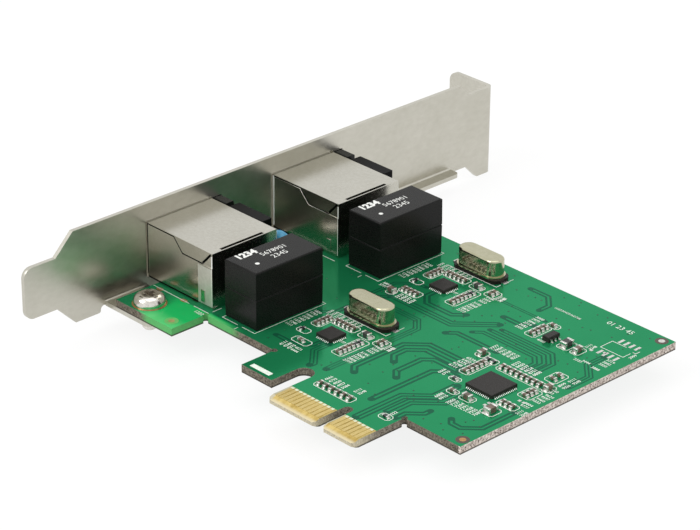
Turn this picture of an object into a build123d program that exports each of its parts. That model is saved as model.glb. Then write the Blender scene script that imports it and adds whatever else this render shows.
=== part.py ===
from build123d import *
import os

os.makedirs("parts", exist_ok=True)

# A two-port network card with its full-height slot bracket, lying component side up.
# X runs from the bracket to the tail of the board, and Y from the contact edge to the bracket's flange.
# The origin is the middle of the key notch, on the contact edge and on the board's middle plane.
# Places along X are given as distances from the bracket's inner face, and turned into X by from_face().

# Board
board_t = 1.57
face_to_key = 61.58
board_gap = 3.3
board_end = 83.4
board_far_edge = 66.6
shoulder_y = 12.0
foot_y = 3.9
foot_end = 18.95
lobe_y = 4.3
lobe_start = 37.4
lobe_end = 45.2
slot_end_y = 12.1
relief_r = 0.6

# Contact edge: two tongues with a key notch between them, and a row of contacts on each face
key_w = 1.9
key_depth = 7.9
tongue_1_w = 11.65
tongue_2_w = 7.65
tip_chamfer = 0.5
bevel_len = 1.3
bevel_h = 0.45
contact_pitch = 1.0
contact_w = 0.7
contact_t = 0.05
contact_inner_y = 5.3
contact_counts = (11, 7)

# Bracket, folded from one sheet
sheet_t = 0.86
bend_r = 0.4
plate_w = 18.42
plate_below_board = 3.61
bracket_len = 120.02
tongue_tip = 14.1
tongue_w = 10.19
tongue_len = 7.1
tongue_r = 1.9
fold_corner_r = 1.5
flange_reach = 11.6
flange_w = 19.05
flange_overall_w = 21.59
flange_r = 2.0
flare_top_run = 5.72
flare_low_run = 2.99
flare_low_r = 1.0
screw_slot_w = 4.42
screw_slot_depth = 5.3
screw_slot_back = 6.35
fold_w = 10.0
fold_reach = 12.5
fold_start = 3.9
fold_pitch = 29.6
relief_w = 1.6
relief_out = 0.2
relief_depth = 1.31
relief_corner_r = 0.45
lip_start = 68.0
lip_to_flare = 4.6
lip_relief_w = 1.1
lip_relief_h = 0.75
lip_reach = 2.6
lip_r = 0.9

# Bracket screws
screw_back = 8.5
screw_into_fold = 3.6
shank_r = 1.45
screw_hole_r = 1.7
tapped_r = 1.5
head_r = 3.0
head_h = 1.95
screw_len = 5.0
cross_w = 0.9
cross_len = 4.1
cross_depth = 1.1

# Jacks
jack_mid = 21.985
port_pitch = 31.15
jack_w = 15.53
jack_h = 11.19
jack_back = 18.4
jack_front = 1.1
skin_t = 0.25
jack_fit = 0.1
window_fit = 0.25
mouth_w = 12.0
mouth_low = 3.4
mouth_h = 6.8
cavity_back = 12.9
latch_w = 6.2
latch_low = 2.0
latch_slot_w = 3.3
latch_slot_low = 0.9
rim = 0.35
housing_back = 14.6
seam_w = 0.12
flap_start = 7.7
flap_end = 18.0
flap_drop = 2.8
flap_slope = 2.4
wedge_w = 0.45
wrap_start = 14.4
wrap_t = 0.12
wrap_low = 0.3
vent_start = 2.5
vent_len = 10.2
vent_w = 0.7
vent_inset = 0.25
dimple_x = 15.9
dimple_w = 1.0
dimple_low = 0.8
dimple_h = 2.4
dimple_t = 0.15
leg_x = 13.4
leg_w = 1.4
peg_x = 8.6
peg_spacing = 11.43
peg_r = 1.55
peg_out = 0.9
hole_fit = 0.1

# Jack contacts
wire_t = 0.3
wire_w = 0.42
wire_pitch = 1.02
wire_count = 8
wire_rows = (15.5, 17.0)
wire_top = 10.42
wire_fold_x = 1.0
spring_end_x = 9.0
spring_end_z = 8.05
fold_r = 0.32
pin_hole_r = 0.45

# Solder joints under the board
joint_r = 0.75
pin_joint_r = 0.6
leg_joint_r = 1.25
joint_h = 0.9
joint_slope = 20

# Port lights beside the jacks
light_gap = 0.4
light_w = 2.5
light_start = 4.9
light_end = 14.0
light_h = 11.0
lamp_w = 2.0
lamp_h = 3.2
lamp_len = 3.6
lamp_out = 0.2
stem_w = 1.0
stem_h = 1.4
lead_w = 0.5
lead_inset = 1.6

# Transformers
transformer_x = 25.85
transformer_w = 8.45
transformer_left = 14.3
transformer_pitch = 30.6
transformer_len = 16.25
transformer_lift = 0.15
transformer_seam = 6.0
transformer_h = 11.45
transformer_draft = 0.5
transformer_edge_r = 0.3
transformer_groove = 0.12
coil_lead_count = 12
coil_lead_pitch = 1.27
coil_lead_w = 0.5
coil_foot = 1.1
coil_inset = 0.9

# Disc capacitor beside the first jack, behind its port light's holder
disc_x = 17.5
disc_r = 3.2
disc_top = 9.95
disc_t = 2.5
disc_flat_r = 1.5
disc_lead_r = 0.3
disc_lead_spacing = 5.0

# Crystals
crystal_x = 40.7
crystal_y = 32.6
crystal_pitch = 28.3
crystal_base_len = 11.6
crystal_base_w = 4.5
crystal_base_r = 1.6
crystal_base_t = 0.7
crystal_rim_len = 11.0
crystal_rim_w = 4.4
crystal_rim_t = 0.35
can_len = 10.3
can_w = 3.9
can_top = 4.35
can_edge_r = 0.45
crystal_lead_w = 1.2
crystal_lead_t = 0.2
crystal_lead_out = 0.9
crystal_lead_in = 2.5

# Chips
controller_x = 40.35
controller_y = 23.0
controller_pitch = 28.35
controller_w = 3.8
controller_pads_per_side = 8
switch_x = 72.6
switch_y = 30.6
switch_w = 6.35
switch_pads_per_side = 14
chip_h = 0.75
chip_edge = 0.08
pad_pitch = 0.4
pad_w = 0.2
pad_out = 0.2
pad_in = 0.02
pad_t = 0.25
regulator_from_face = 67.65
regulator_y = 51.0
regulator_w = 1.6
regulator_len = 2.9
regulator_h = 1.1
regulator_pitch = 0.95
regulator_lead_w = 0.4
regulator_lead_t = 0.16
regulator_lead_out = 0.65
regulator_lead_z = 0.6
regulator_lift = 0.1
regulator_edge = 0.12

# Chip capacitors and resistors, set out in steps of the board's grid
grid = 1.0
small_len = 1.3
small_w = 0.65
small_h = 0.55
small_end = 0.3
thin_h = 0.4
medium_len = 1.8
medium_w = 1.0
medium_h = 0.9
medium_end = 0.4
large_len = 2.3
large_w = 1.4
large_h = 1.0
large_end = 0.5
end_proud = 0.03

# Heights and places that follow
top_z = board_t / 2
under_z = -board_t / 2
plate_low = top_z - plate_below_board
plate_top = plate_low + plate_w
flange_low = plate_top - flange_overall_w
flange_top = flange_low + flange_w
flange_face_y = bracket_len - tongue_tip
bend_y = flange_face_y - sheet_t - bend_r
top_step = plate_top - flange_top
low_step = plate_low - flange_low
flare_start = bend_y - flare_top_run - top_step
flare_low_start = bend_y - flare_low_run - low_step
lip_end = flare_low_start - lip_to_flare
tongue_top = plate_low + (plate_w + tongue_w) / 2
tongue_low = tongue_top - tongue_w
tongue_step = (plate_w - tongue_w) / 2
tongue_root = tongue_len - tongue_tip
key_x = face_to_key
tongue_1_start = key_x - key_w / 2 - tongue_1_w
tongue_2_end = key_x + key_w / 2 + tongue_2_w
fold_starts = (fold_start, fold_start + fold_pitch)
screw_spots = tuple((screw_back, start + screw_into_fold) for start in fold_starts)
jack_mids = (jack_mid, jack_mid + port_pitch)
jack_lefts = tuple(mid - jack_w / 2 for mid in jack_mids)
jack_rights = tuple(mid + jack_w / 2 for mid in jack_mids)
light_mids = tuple(right + light_gap + light_w / 2 for right in jack_rights)
lamp_top = top_z + light_h
disc_y = light_mids[0]
transformer_lefts = (transformer_left, transformer_left + transformer_pitch)
crystal_ys = (crystal_y, crystal_y + crystal_pitch)
controller_ys = (controller_y, controller_y + controller_pitch)
switch_spot = (switch_x, switch_y)
small_chip = (small_len, small_w, small_h, small_end)
thin_chip = (small_len, small_w, thin_h, small_end)
medium_chip = (medium_len, medium_w, medium_h, medium_end)
large_chip = (large_len, large_w, large_h, large_end)


def from_face(distance):
    """X of a place at this distance from the bracket's inner face."""
    return distance - face_to_key


def at(spot):
    """A place given from the bracket's face, as X and Y."""
    return (from_face(spot[0]), spot[1])


def save(piece, label):
    piece.part.label = label
    export_step(piece.part, f"parts/{label}.step")


def slab(x_low, x_high, y_low, y_high, z_low, z_high, mode=Mode.ADD):
    """A straight block between two corners, with X measured from the bracket's face."""
    with BuildSketch(Plane.XY.offset(z_low)) as block:
        with Locations((from_face((x_low + x_high) / 2), (y_low + y_high) / 2)):
            Rectangle(x_high - x_low, y_high - y_low)
    extrude(block.sketch, amount=z_high - z_low, mode=mode)


def pin_spots(left):
    """Where the contact wires of a jack pass through the board."""
    first = left + jack_w / 2 - wire_pitch * (wire_count - 1) / 2
    return [(wire_rows[n % 2], first + n * wire_pitch) for n in range(wire_count)]


def leg_spots(left):
    """Where the two legs of a jack's shield pass through the board."""
    return [(leg_x, left + skin_t / 2), (leg_x, left + jack_w - skin_t / 2)]


def light_lead_spots(mid):
    return [(light_start + lead_inset, mid), (light_end - lead_inset, mid)]


def disc_lead_spots():
    return [(disc_x + side * disc_lead_spacing / 2, disc_y) for side in (-1, 1)]


# Circuit board
with BuildPart() as circuit_board:
    with BuildSketch(Plane.XY.offset(under_z)):
        slot_r = (tongue_1_start - lobe_end) / 2
        key_r = key_w / 2
        key_left = key_x - key_r
        key_right = key_x + key_r
        with BuildLine():
            recess = Polyline(
                at((board_gap, board_far_edge)),
                at((board_gap, foot_y)),
                at((foot_end, foot_y)),
                at((foot_end, shoulder_y)),
                at((lobe_start, shoulder_y)),
                at((lobe_start, lobe_y)),
                at((lobe_end, lobe_y)),
                at((lobe_end, slot_end_y - slot_r)),
            )
            ThreePointArc(
                recess @ 1,
                at((lobe_end + slot_r, slot_end_y)),
                at((tongue_1_start, slot_end_y - slot_r)),
            )
            Polyline(
                at((tongue_1_start, slot_end_y - slot_r)),
                at((tongue_1_start, tip_chamfer)),
                at((tongue_1_start + tip_chamfer, 0)),
                at((key_left - tip_chamfer, 0)),
                at((key_left, tip_chamfer)),
                at((key_left, key_depth - key_r)),
            )
            ThreePointArc(
                at((key_left, key_depth - key_r)),
                at((key_x, key_depth)),
                at((key_right, key_depth - key_r)),
            )
            Polyline(
                at((key_right, key_depth - key_r)),
                at((key_right, tip_chamfer)),
                at((key_right + tip_chamfer, 0)),
                at((tongue_2_end - tip_chamfer, 0)),
                at((tongue_2_end, tip_chamfer)),
                at((tongue_2_end, shoulder_y)),
                at((board_end, shoulder_y)),
                at((board_end, board_far_edge)),
                at((board_gap, board_far_edge)),
            )
        make_face()
        with Locations(*[at((corner, shoulder_y)) for corner in (foot_end, lobe_start, tongue_2_end)]):
            Circle(relief_r, mode=Mode.SUBTRACT)
        with Locations(*[at(spot) for spot in screw_spots]):
            Circle(screw_hole_r, mode=Mode.SUBTRACT)
        for jack_left, jack_mid, light_mid in zip(jack_lefts, jack_mids, light_mids):
            with Locations(*[at(spot) for spot in pin_spots(jack_left)]):
                Circle(pin_hole_r, mode=Mode.SUBTRACT)
            with Locations(*[at(spot) for spot in leg_spots(jack_left)]):
                SlotOverall(leg_w + 2 * hole_fit + skin_t, skin_t + 4 * hole_fit, mode=Mode.SUBTRACT)
            with Locations(at((peg_x, jack_mid - peg_spacing / 2)), at((peg_x, jack_mid + peg_spacing / 2))):
                Circle(peg_r + hole_fit, mode=Mode.SUBTRACT)
            with Locations(*[at(spot) for spot in light_lead_spots(light_mid)]):
                Circle(pin_hole_r, mode=Mode.SUBTRACT)
        with Locations(*[at(spot) for spot in disc_lead_spots()]):
            Circle(pin_hole_r, mode=Mode.SUBTRACT)
    extrude(amount=board_t)
    # The contact tongues are bevelled on both faces so that they find their way into the slot.
    with BuildSketch(Plane.YZ.offset(from_face(tongue_1_start))):
        with BuildLine():
            Polyline((0, top_z), (bevel_len, top_z), (0, top_z - bevel_h), close=True)
        make_face()
        with BuildLine():
            Polyline((0, under_z), (bevel_len, under_z), (0, under_z + bevel_h), close=True)
        make_face()
    extrude(amount=tongue_2_end - tongue_1_start, mode=Mode.SUBTRACT)
save(circuit_board, "circuit_board")


# Contacts of the edge connector, one node for each face of the board
def contact_row(base_z, label):
    with BuildPart() as contacts:
        mid_y = (bevel_len + contact_inner_y) / 2
        for start, width, count in zip(
            (tongue_1_start, key_x + key_w / 2), (tongue_1_w, tongue_2_w), contact_counts
        ):
            with BuildSketch(Plane.XY.offset(base_z)):
                with Locations((from_face(start + width / 2), mid_y)):
                    with GridLocations(contact_pitch, 0, count, 1):
                        Rectangle(contact_w, contact_inner_y - bevel_len)
            extrude(amount=contact_t)
    save(contacts, label)


contact_row(top_z, "edge_contacts_top")
contact_row(under_z - contact_t, "edge_contacts_bottom")


def fold(y_low, y_high, upper, reach):
    """A strip of the bracket's sheet, bent at its edge to lie level, with its upper face at a height."""
    bend_z = upper + bend_r
    plate_back = from_face(-sheet_t)
    plate_face = from_face(0)
    bend_x = from_face(bend_r)
    diagonal = 0.5**0.5
    outer_r = bend_r + sheet_t
    mid_y = (y_low + y_high) / 2
    with BuildSketch(Plane.YZ.offset(plate_back)) as removed:
        with Locations((mid_y, (plate_low + bend_z) / 2)):
            Rectangle(y_high - y_low, bend_z - plate_low)
    extrude(removed.sketch, amount=sheet_t, mode=Mode.SUBTRACT)
    with BuildSketch(Plane.XZ.offset(-y_high)) as bent:
        with BuildLine():
            ThreePointArc(
                (plate_back, bend_z),
                (bend_x - outer_r * diagonal, bend_z - outer_r * diagonal),
                (bend_x, bend_z - outer_r),
            )
            Polyline(
                (bend_x, bend_z - outer_r),
                (from_face(reach), bend_z - outer_r),
                (from_face(reach), upper),
                (bend_x, upper),
            )
            ThreePointArc(
                (bend_x, upper),
                (bend_x - bend_r * diagonal, bend_z - bend_r * diagonal),
                (plate_face, bend_z),
            )
            Line((plate_face, bend_z), (plate_back, bend_z))
        make_face()
    extrude(bent.sketch, amount=y_high - y_low)


# Bracket
with BuildPart() as bracket:
    with BuildSketch(Plane.YZ.offset(from_face(-sheet_t))) as plate:
        with BuildLine():
            Polyline(
                (-tongue_tip, tongue_low),
                (-tongue_tip, tongue_top),
                (tongue_root, tongue_top),
                (tongue_root + tongue_step, plate_top),
                (flare_start, plate_top),
                (flare_start + top_step, flange_top),
                (bend_y, flange_top),
                (bend_y, flange_low),
                (flare_low_start + low_step, flange_low),
                (flare_low_start, plate_low),
                (tongue_root + tongue_step, plate_low),
                (tongue_root, tongue_low),
                close=True,
            )
        make_face()
        fillet(plate.vertices().sort_by(Axis.X)[:2], tongue_r)
        fillet(plate.vertices().sort_by_distance((flare_low_start + low_step, flange_low))[:1], flare_low_r)
        for jack_left, jack_mid, light_mid in zip(jack_lefts, jack_mids, light_mids):
            with Locations((jack_mid, top_z + jack_h / 2)):
                Rectangle(jack_w + 2 * window_fit, jack_h + 2 * window_fit, mode=Mode.SUBTRACT)
            with Locations((light_mid, lamp_top - lamp_h / 2)):
                Rectangle(lamp_w + 2 * hole_fit, lamp_h + 2 * hole_fit, mode=Mode.SUBTRACT)
        for start in fold_starts:
            for edge in (start - relief_out, start + fold_w + relief_out):
                notch_top = plate_low + relief_depth
                with Locations((edge, (plate_low + notch_top - relief_w / 2) / 2)):
                    Rectangle(relief_w, notch_top - relief_w / 2 - plate_low, mode=Mode.SUBTRACT)
                with Locations((edge, notch_top - relief_w / 2)):
                    Circle(relief_w / 2, mode=Mode.SUBTRACT)
            for corner in (start - relief_out - relief_w / 2, start + fold_w + relief_out + relief_w / 2):
                fillet(plate.vertices().sort_by_distance((corner, plate_low))[:1], relief_corner_r)
        with Locations((lip_end + lip_relief_w / 2, plate_low + lip_relief_h / 2)):
            Rectangle(lip_relief_w, lip_relief_h, mode=Mode.SUBTRACT)
    extrude(amount=sheet_t)
    for start in fold_starts:
        fold(start, start + fold_w, under_z, fold_reach)
    fold(lip_start, lip_end, plate_low + sheet_t, lip_reach)
    for reach, corner_r in ((fold_reach, fold_corner_r), (lip_reach, lip_r)):
        tip_x = from_face(reach)
        upright = bracket.edges().filter_by(Axis.Z)
        fillet(upright.filter_by_position(Axis.X, tip_x - 0.01, tip_x + 0.01), corner_r)
    # The flange turns away from the board and seats on the rail of the case.
    with BuildSketch(Plane.XY.offset(flange_low)):
        outer_r = bend_r + sheet_t
        turn_x = from_face(-sheet_t - bend_r)
        diagonal = 0.5**0.5
        with BuildLine():
            Line((from_face(-sheet_t), bend_y), (from_face(0), bend_y))
            ThreePointArc(
                (from_face(0), bend_y),
                (turn_x + outer_r * diagonal, bend_y + outer_r * diagonal),
                (turn_x, flange_face_y),
            )
            Polyline(
                (turn_x, flange_face_y),
                (from_face(-flange_reach), flange_face_y),
                (from_face(-flange_reach), flange_face_y - sheet_t),
                (turn_x, flange_face_y - sheet_t),
            )
            ThreePointArc(
                (turn_x, flange_face_y - sheet_t),
                (turn_x + bend_r * diagonal, bend_y + bend_r * diagonal),
                (from_face(-sheet_t), bend_y),
            )
        make_face()
    extrude(amount=flange_w)
    fillet(bracket.edges().filter_by(Axis.Y).sort_by(Axis.X)[:2], flange_r)
    with BuildSketch(Plane.XZ.offset(-flange_face_y)):
        slot_mid_z = flange_low + screw_slot_depth - screw_slot_w / 2
        with Locations((from_face(-screw_slot_back), slot_mid_z)):
            Circle(screw_slot_w / 2)
        with Locations((from_face(-screw_slot_back), (flange_low + slot_mid_z) / 2)):
            Rectangle(screw_slot_w, slot_mid_z - flange_low)
    extrude(amount=sheet_t, mode=Mode.SUBTRACT)
    with Locations(*[(from_face(spot[0]), spot[1], under_z) for spot in screw_spots]):
        Hole(tapped_r, depth=2 * sheet_t)
save(bracket, "bracket")


# Screws that hold the board to the bracket's two folded tabs
with BuildPart() as bracket_screws:
    for spot in screw_spots:
        axis_x = from_face(spot[0])
        with BuildSketch(Plane(origin=(axis_x, spot[1], 0), x_dir=(1, 0, 0), z_dir=(0, -1, 0))):
            with BuildLine():
                Line((0, top_z + head_h), (0, top_z - screw_len))
                Polyline(
                    (0, top_z - screw_len),
                    (shank_r - 0.3, top_z - screw_len),
                    (shank_r, top_z - screw_len + 0.4),
                    (shank_r, top_z),
                    (head_r, top_z),
                    (head_r, top_z + head_h / 3),
                )
                ThreePointArc(
                    (head_r, top_z + head_h / 3),
                    (head_r * 0.85, top_z + head_h * 0.8),
                    (head_r * 0.4, top_z + head_h),
                )
                Line((head_r * 0.4, top_z + head_h), (0, top_z + head_h))
            make_face()
        revolve(axis=Axis((axis_x, spot[1], 0), (0, 0, 1)))
        with BuildSketch(Plane.XY.offset(top_z + head_h)):
            with Locations(at(spot)):
                Rectangle(cross_len, cross_w)
                Rectangle(cross_w, cross_len)
        extrude(amount=-cross_depth, mode=Mode.SUBTRACT)
save(bracket_screws, "bracket_screws")


def jack_shield(left, label):
    """The folded steel skin of a jack: open below, with the plug's mouth in front."""
    right = left + jack_w
    mid = left + jack_w / 2
    shield_top = top_z + jack_h
    seam_top = shield_top - skin_t
    seam_low = shield_top - flap_drop
    with BuildPart() as shield:
        slab(-jack_front, jack_back, left, right, top_z, shield_top)
        slab(
            -jack_front + skin_t,
            jack_back - skin_t,
            left + skin_t,
            right - skin_t,
            top_z,
            shield_top - skin_t,
            Mode.SUBTRACT,
        )
        with BuildSketch(Plane.YZ.offset(from_face(-jack_front))):
            with Locations((mid, top_z + (latch_slot_low + mouth_low + mouth_h) / 2)):
                Rectangle(mouth_w + 2 * rim, mouth_low + mouth_h - latch_slot_low + 2 * rim)
        extrude(amount=skin_t, mode=Mode.SUBTRACT)
        # The top's side flaps lap over the walls, and the sheet's edges leave a fine seam.
        for wall_face in (left, right):
            with BuildSketch(Plane.XZ.offset(-wall_face if wall_face == left else -wall_face + skin_t)):
                with BuildLine():
                    FilletPolyline(
                        (from_face(skin_t), seam_top),
                        (from_face(flap_start), seam_top),
                        (from_face(flap_start + flap_slope), seam_low),
                        (from_face(flap_end - flap_slope), seam_low),
                        (from_face(flap_end), seam_top),
                        radius=0.3,
                    )
                trace(line_width=seam_w)
                with BuildLine():
                    Line((from_face(flap_end - flap_slope), seam_low), (from_face(flap_end), seam_top))
                trace(line_width=wedge_w)
            extrude(amount=-skin_t if wall_face == left else skin_t, mode=Mode.SUBTRACT)
        # The rear plate's side flaps lie over the walls.
        for y_low in (left - wrap_t, right):
            slab(wrap_start, jack_back, y_low, y_low + wrap_t, top_z + wrap_low, seam_low - wrap_t)
        # A long slot along the rear bend
        slab(
            jack_back - vent_inset - vent_w,
            jack_back - vent_inset,
            left + vent_start,
            left + vent_start + vent_len,
            shield_top - skin_t,
            shield_top,
            Mode.SUBTRACT,
        )
        for y_low in (left - wrap_t - dimple_t, right + wrap_t):
            slab(
                dimple_x - dimple_w / 2,
                dimple_x + dimple_w / 2,
                y_low,
                y_low + dimple_t,
                top_z + dimple_low,
                top_z + dimple_low + dimple_h,
            )
        for leg in leg_spots(left):
            leg_start = leg[0] - leg_w / 2
            leg_side = leg[1] - skin_t / 2
            slab(leg_start, leg_start + leg_w, leg_side, leg_side + skin_t, under_z, top_z)
    save(shield, label)


def jack_housing(left, label):
    """The moulded body of a jack, with the plug's cavity, its latch slot and eight wire grooves."""
    mid = left + jack_w / 2
    inner = skin_t + jack_fit
    front_x = -jack_front + skin_t
    with BuildPart() as housing:
        body_end = left + jack_w - inner
        slab(front_x, housing_back, left + inner, body_end, top_z + jack_fit, top_z + jack_h - inner)
        with BuildSketch(Plane.YZ.offset(from_face(front_x))):
            with Locations((mid, top_z + mouth_low + mouth_h / 2)):
                Rectangle(mouth_w, mouth_h)
            with Locations((mid, top_z + (latch_low + mouth_low) / 2)):
                Rectangle(latch_w, mouth_low - latch_low)
            with Locations((mid, top_z + (latch_slot_low + latch_low) / 2)):
                Rectangle(latch_slot_w, latch_low - latch_slot_low)
        extrude(amount=cavity_back - front_x, mode=Mode.SUBTRACT)
        groove_low = wire_top - wire_t / 2 - hole_fit
        groove_high = wire_top + wire_t / 2 + hole_fit
        with BuildSketch(Plane.YZ.offset(from_face(wire_fold_x - wire_t))):
            with Locations((mid, top_z + (groove_low + groove_high) / 2)):
                with GridLocations(wire_pitch, 0, wire_count, 1):
                    Rectangle(wire_w + 2 * hole_fit, groove_high - groove_low)
        extrude(amount=housing_back - wire_fold_x + wire_t, mode=Mode.SUBTRACT)
        with BuildSketch(Plane.XY.offset(under_z - peg_out)):
            with Locations(at((peg_x, mid - peg_spacing / 2)), at((peg_x, mid + peg_spacing / 2))):
                Circle(peg_r)
        extrude(amount=board_t + peg_out + jack_fit)
    save(housing, label)


def jack_contacts(left, label):
    """Eight sprung wires: from the board up behind the body, along its roof and back down as springs."""
    with BuildPart() as contacts:
        for pin_x, pin_y in pin_spots(left):
            with BuildSketch(Plane.XZ.offset(-(pin_y + wire_w / 2))):
                with BuildLine():
                    FilletPolyline(
                        (from_face(pin_x), under_z),
                        (from_face(pin_x), top_z + wire_top),
                        (from_face(wire_fold_x), top_z + wire_top),
                        (from_face(spring_end_x), top_z + spring_end_z),
                        radius=fold_r,
                    )
                trace(line_width=wire_t)
            extrude(amount=wire_w)
    save(contacts, label)


def light_holder(mid, label):
    """The black block behind a port's light."""
    with BuildPart() as holder:
        slab(light_start, light_end, mid - light_w / 2, mid + light_w / 2, top_z, top_z + light_h)
        fillet(holder.edges().filter_by(Axis.Z), 0.3)
    save(holder, label)


def status_light(mid, label):
    """A port's light, which shows through the bracket's small window."""
    stem_z = lamp_top - lamp_h / 2
    with BuildPart() as light:
        slab(
            -sheet_t - lamp_out, lamp_len, mid - lamp_w / 2, mid + lamp_w / 2, lamp_top - lamp_h, lamp_top
        )
        fillet(light.edges().filter_by(Axis.X), 0.25)
        stem_side = mid - stem_w / 2
        stem_low = stem_z - stem_h / 2
        slab(lamp_len, light_start, stem_side, stem_side + stem_w, stem_low, stem_low + stem_h)
    save(light, label)


for number, (jack_left, light_mid) in enumerate(zip(jack_lefts, light_mids), 1):
    jack_shield(jack_left, f"jack_shield_{number}")
    jack_housing(jack_left, f"jack_housing_{number}")
    jack_contacts(jack_left, f"jack_contacts_{number}")
    light_holder(light_mid, f"light_holder_{number}")
    status_light(light_mid, f"status_light_{number}")


with BuildPart() as light_leads:
    for light_mid in light_mids:
        with BuildSketch(Plane.XY.offset(under_z)):
            with Locations(*[at(spot) for spot in light_lead_spots(light_mid)]):
                Rectangle(lead_w, lead_w)
        extrude(amount=board_t)
save(light_leads, "light_leads")


# Transformers: a case and a base that meet at a seam, on two rows of flat feet
def transformer(left, number):
    mid = (from_face(transformer_x), left + transformer_len / 2)
    seam_z = top_z + transformer_seam
    with BuildPart() as case:
        with BuildSketch(Plane.XY.offset(seam_z)):
            with Locations(mid):
                Rectangle(transformer_w, transformer_len)
        extrude(amount=transformer_h - transformer_seam, taper=transformer_draft)
        fillet(case.edges().group_by(Axis.Z)[-1], transformer_edge_r)
        chamfer(case.edges().group_by(Axis.Z)[0], transformer_groove)
    save(case, f"transformer_case_{number}")
    with BuildPart() as base:
        with BuildSketch(Plane.XY.offset(seam_z)):
            with Locations(mid):
                Rectangle(transformer_w, transformer_len)
        extrude(amount=transformer_lift - transformer_seam, taper=transformer_draft)
        chamfer(base.edges().group_by(Axis.Z)[-1], transformer_groove)
    save(base, f"transformer_base_{number}")
    with BuildPart() as leads:
        for side in (-1, 1):
            edge_x = mid[0] + side * (transformer_w / 2 - coil_inset)
            with BuildSketch(Plane.XY.offset(top_z)):
                with Locations((edge_x - side * coil_foot / 2, mid[1])):
                    with GridLocations(0, coil_lead_pitch, 1, coil_lead_count):
                        Rectangle(coil_foot, coil_lead_w)
            extrude(amount=transformer_lift)
    save(leads, f"transformer_leads_{number}")


for number, left in enumerate(transformer_lefts, 1):
    transformer(left, number)


# Disc capacitor, standing on two wires beside the first jack
disc_mid_z = top_z + disc_top - disc_r
with BuildPart() as disc_capacitor:
    with BuildSketch(Plane(origin=(from_face(disc_x), disc_y, disc_mid_z), x_dir=(0, 1, 0), z_dir=(1, 0, 0))):
        with BuildLine():
            Polyline((-disc_t / 2, disc_flat_r), (-disc_t / 2, 0), (disc_t / 2, 0), (disc_t / 2, disc_flat_r))
            ThreePointArc((disc_t / 2, disc_flat_r), (0, disc_r), (-disc_t / 2, disc_flat_r))
        make_face()
    revolve(axis=Axis((from_face(disc_x), disc_y, disc_mid_z), (0, 1, 0)))
save(disc_capacitor, "disc_capacitor")

with BuildPart() as disc_capacitor_leads:
    for spot in disc_lead_spots():
        with BuildSketch(Plane.XY.offset(under_z)):
            with Locations(at(spot)):
                Circle(disc_lead_r)
        extrude(amount=disc_mid_z - under_z)
    with BuildSketch(Plane(origin=(from_face(disc_x), disc_y, disc_mid_z), x_dir=(0, 1, 0), z_dir=(1, 0, 0))):
        with BuildLine():
            Polyline((-disc_t / 2, disc_flat_r), (-disc_t / 2, 0), (disc_t / 2, 0), (disc_t / 2, disc_flat_r))
            ThreePointArc((disc_t / 2, disc_flat_r), (0, disc_r), (-disc_t / 2, disc_flat_r))
        make_face()
    revolve(axis=Axis((from_face(disc_x), disc_y, disc_mid_z), (0, 1, 0)), mode=Mode.SUBTRACT)
save(disc_capacitor_leads, "disc_capacitor_leads")


# Crystals: a pressed can with its rim on a flat base, and a lead at each end
def crystal(y, number):
    mid = (from_face(crystal_x), y)
    base_top = top_z + crystal_base_t
    with BuildPart() as base:
        with BuildSketch(Plane.XY.offset(top_z)):
            with Locations(mid):
                RectangleRounded(crystal_base_len, crystal_base_w, crystal_base_r)
        extrude(amount=crystal_base_t)
        with BuildSketch(Plane.XY.offset(top_z)):
            with Locations(mid):
                Rectangle(crystal_base_len, crystal_lead_w + 2 * hole_fit)
        extrude(amount=crystal_lead_t + hole_fit, mode=Mode.SUBTRACT)
    save(base, f"crystal_base_{number}")
    with BuildPart() as can:
        with BuildSketch(Plane.XY.offset(base_top)):
            with Locations(mid):
                SlotOverall(crystal_rim_len, crystal_rim_w)
        extrude(amount=crystal_rim_t)
        with BuildSketch(Plane.XY.offset(base_top + crystal_rim_t)):
            with Locations(mid):
                SlotOverall(can_len, can_w)
        extrude(amount=can_top - crystal_base_t - crystal_rim_t)
        fillet(can.edges().group_by(Axis.Z)[-1], can_edge_r)
    save(can, f"crystal_can_{number}")


for number, y in enumerate(crystal_ys, 1):
    crystal(y, number)

with BuildPart() as crystal_leads:
    for y in crystal_ys:
        for side in (-1, 1):
            outer = crystal_x + side * (crystal_base_len / 2 + crystal_lead_out)
            inner = crystal_x + side * (crystal_base_len / 2 - crystal_lead_in)
            slab(
                min(inner, outer), max(inner, outer), y - crystal_lead_w / 2, y + crystal_lead_w / 2,
                top_z, top_z + crystal_lead_t,
            )
save(crystal_leads, "crystal_leads")


# Chips in flat square packages, with a row of soldered pads along each side
def flat_chip(mid, width, label):
    with BuildPart() as chip:
        with BuildSketch(Plane.XY.offset(top_z)):
            with Locations(at(mid)):
                Rectangle(width, width)
        extrude(amount=chip_h)
        chamfer(chip.edges().group_by(Axis.Z)[-1], chip_edge)
    save(chip, label)


def chip_pads(mid, width, count):
    reach = width / 2 + (pad_out + pad_in) / 2
    with BuildSketch(Plane.XY.offset(top_z)) as pads:
        for side in (-1, 1):
            with Locations((from_face(mid[0]) + side * reach, mid[1])):
                with GridLocations(0, pad_pitch, 1, count):
                    Rectangle(pad_out - pad_in, pad_w)
            with Locations((from_face(mid[0]), mid[1] + side * reach)):
                with GridLocations(pad_pitch, 0, count, 1):
                    Rectangle(pad_w, pad_out - pad_in)
    extrude(pads.sketch, amount=pad_t)


for number, y in enumerate(controller_ys, 1):
    flat_chip((controller_x, y), controller_w, f"lan_controller_{number}")
flat_chip(switch_spot, switch_w, "switch_chip")

with BuildPart() as controller_pads:
    for y in controller_ys:
        chip_pads((controller_x, y), controller_w, controller_pads_per_side)
save(controller_pads, "controller_pads")

with BuildPart() as switch_chip_pads:
    chip_pads(switch_spot, switch_w, switch_pads_per_side)
save(switch_chip_pads, "switch_chip_pads")


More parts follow.
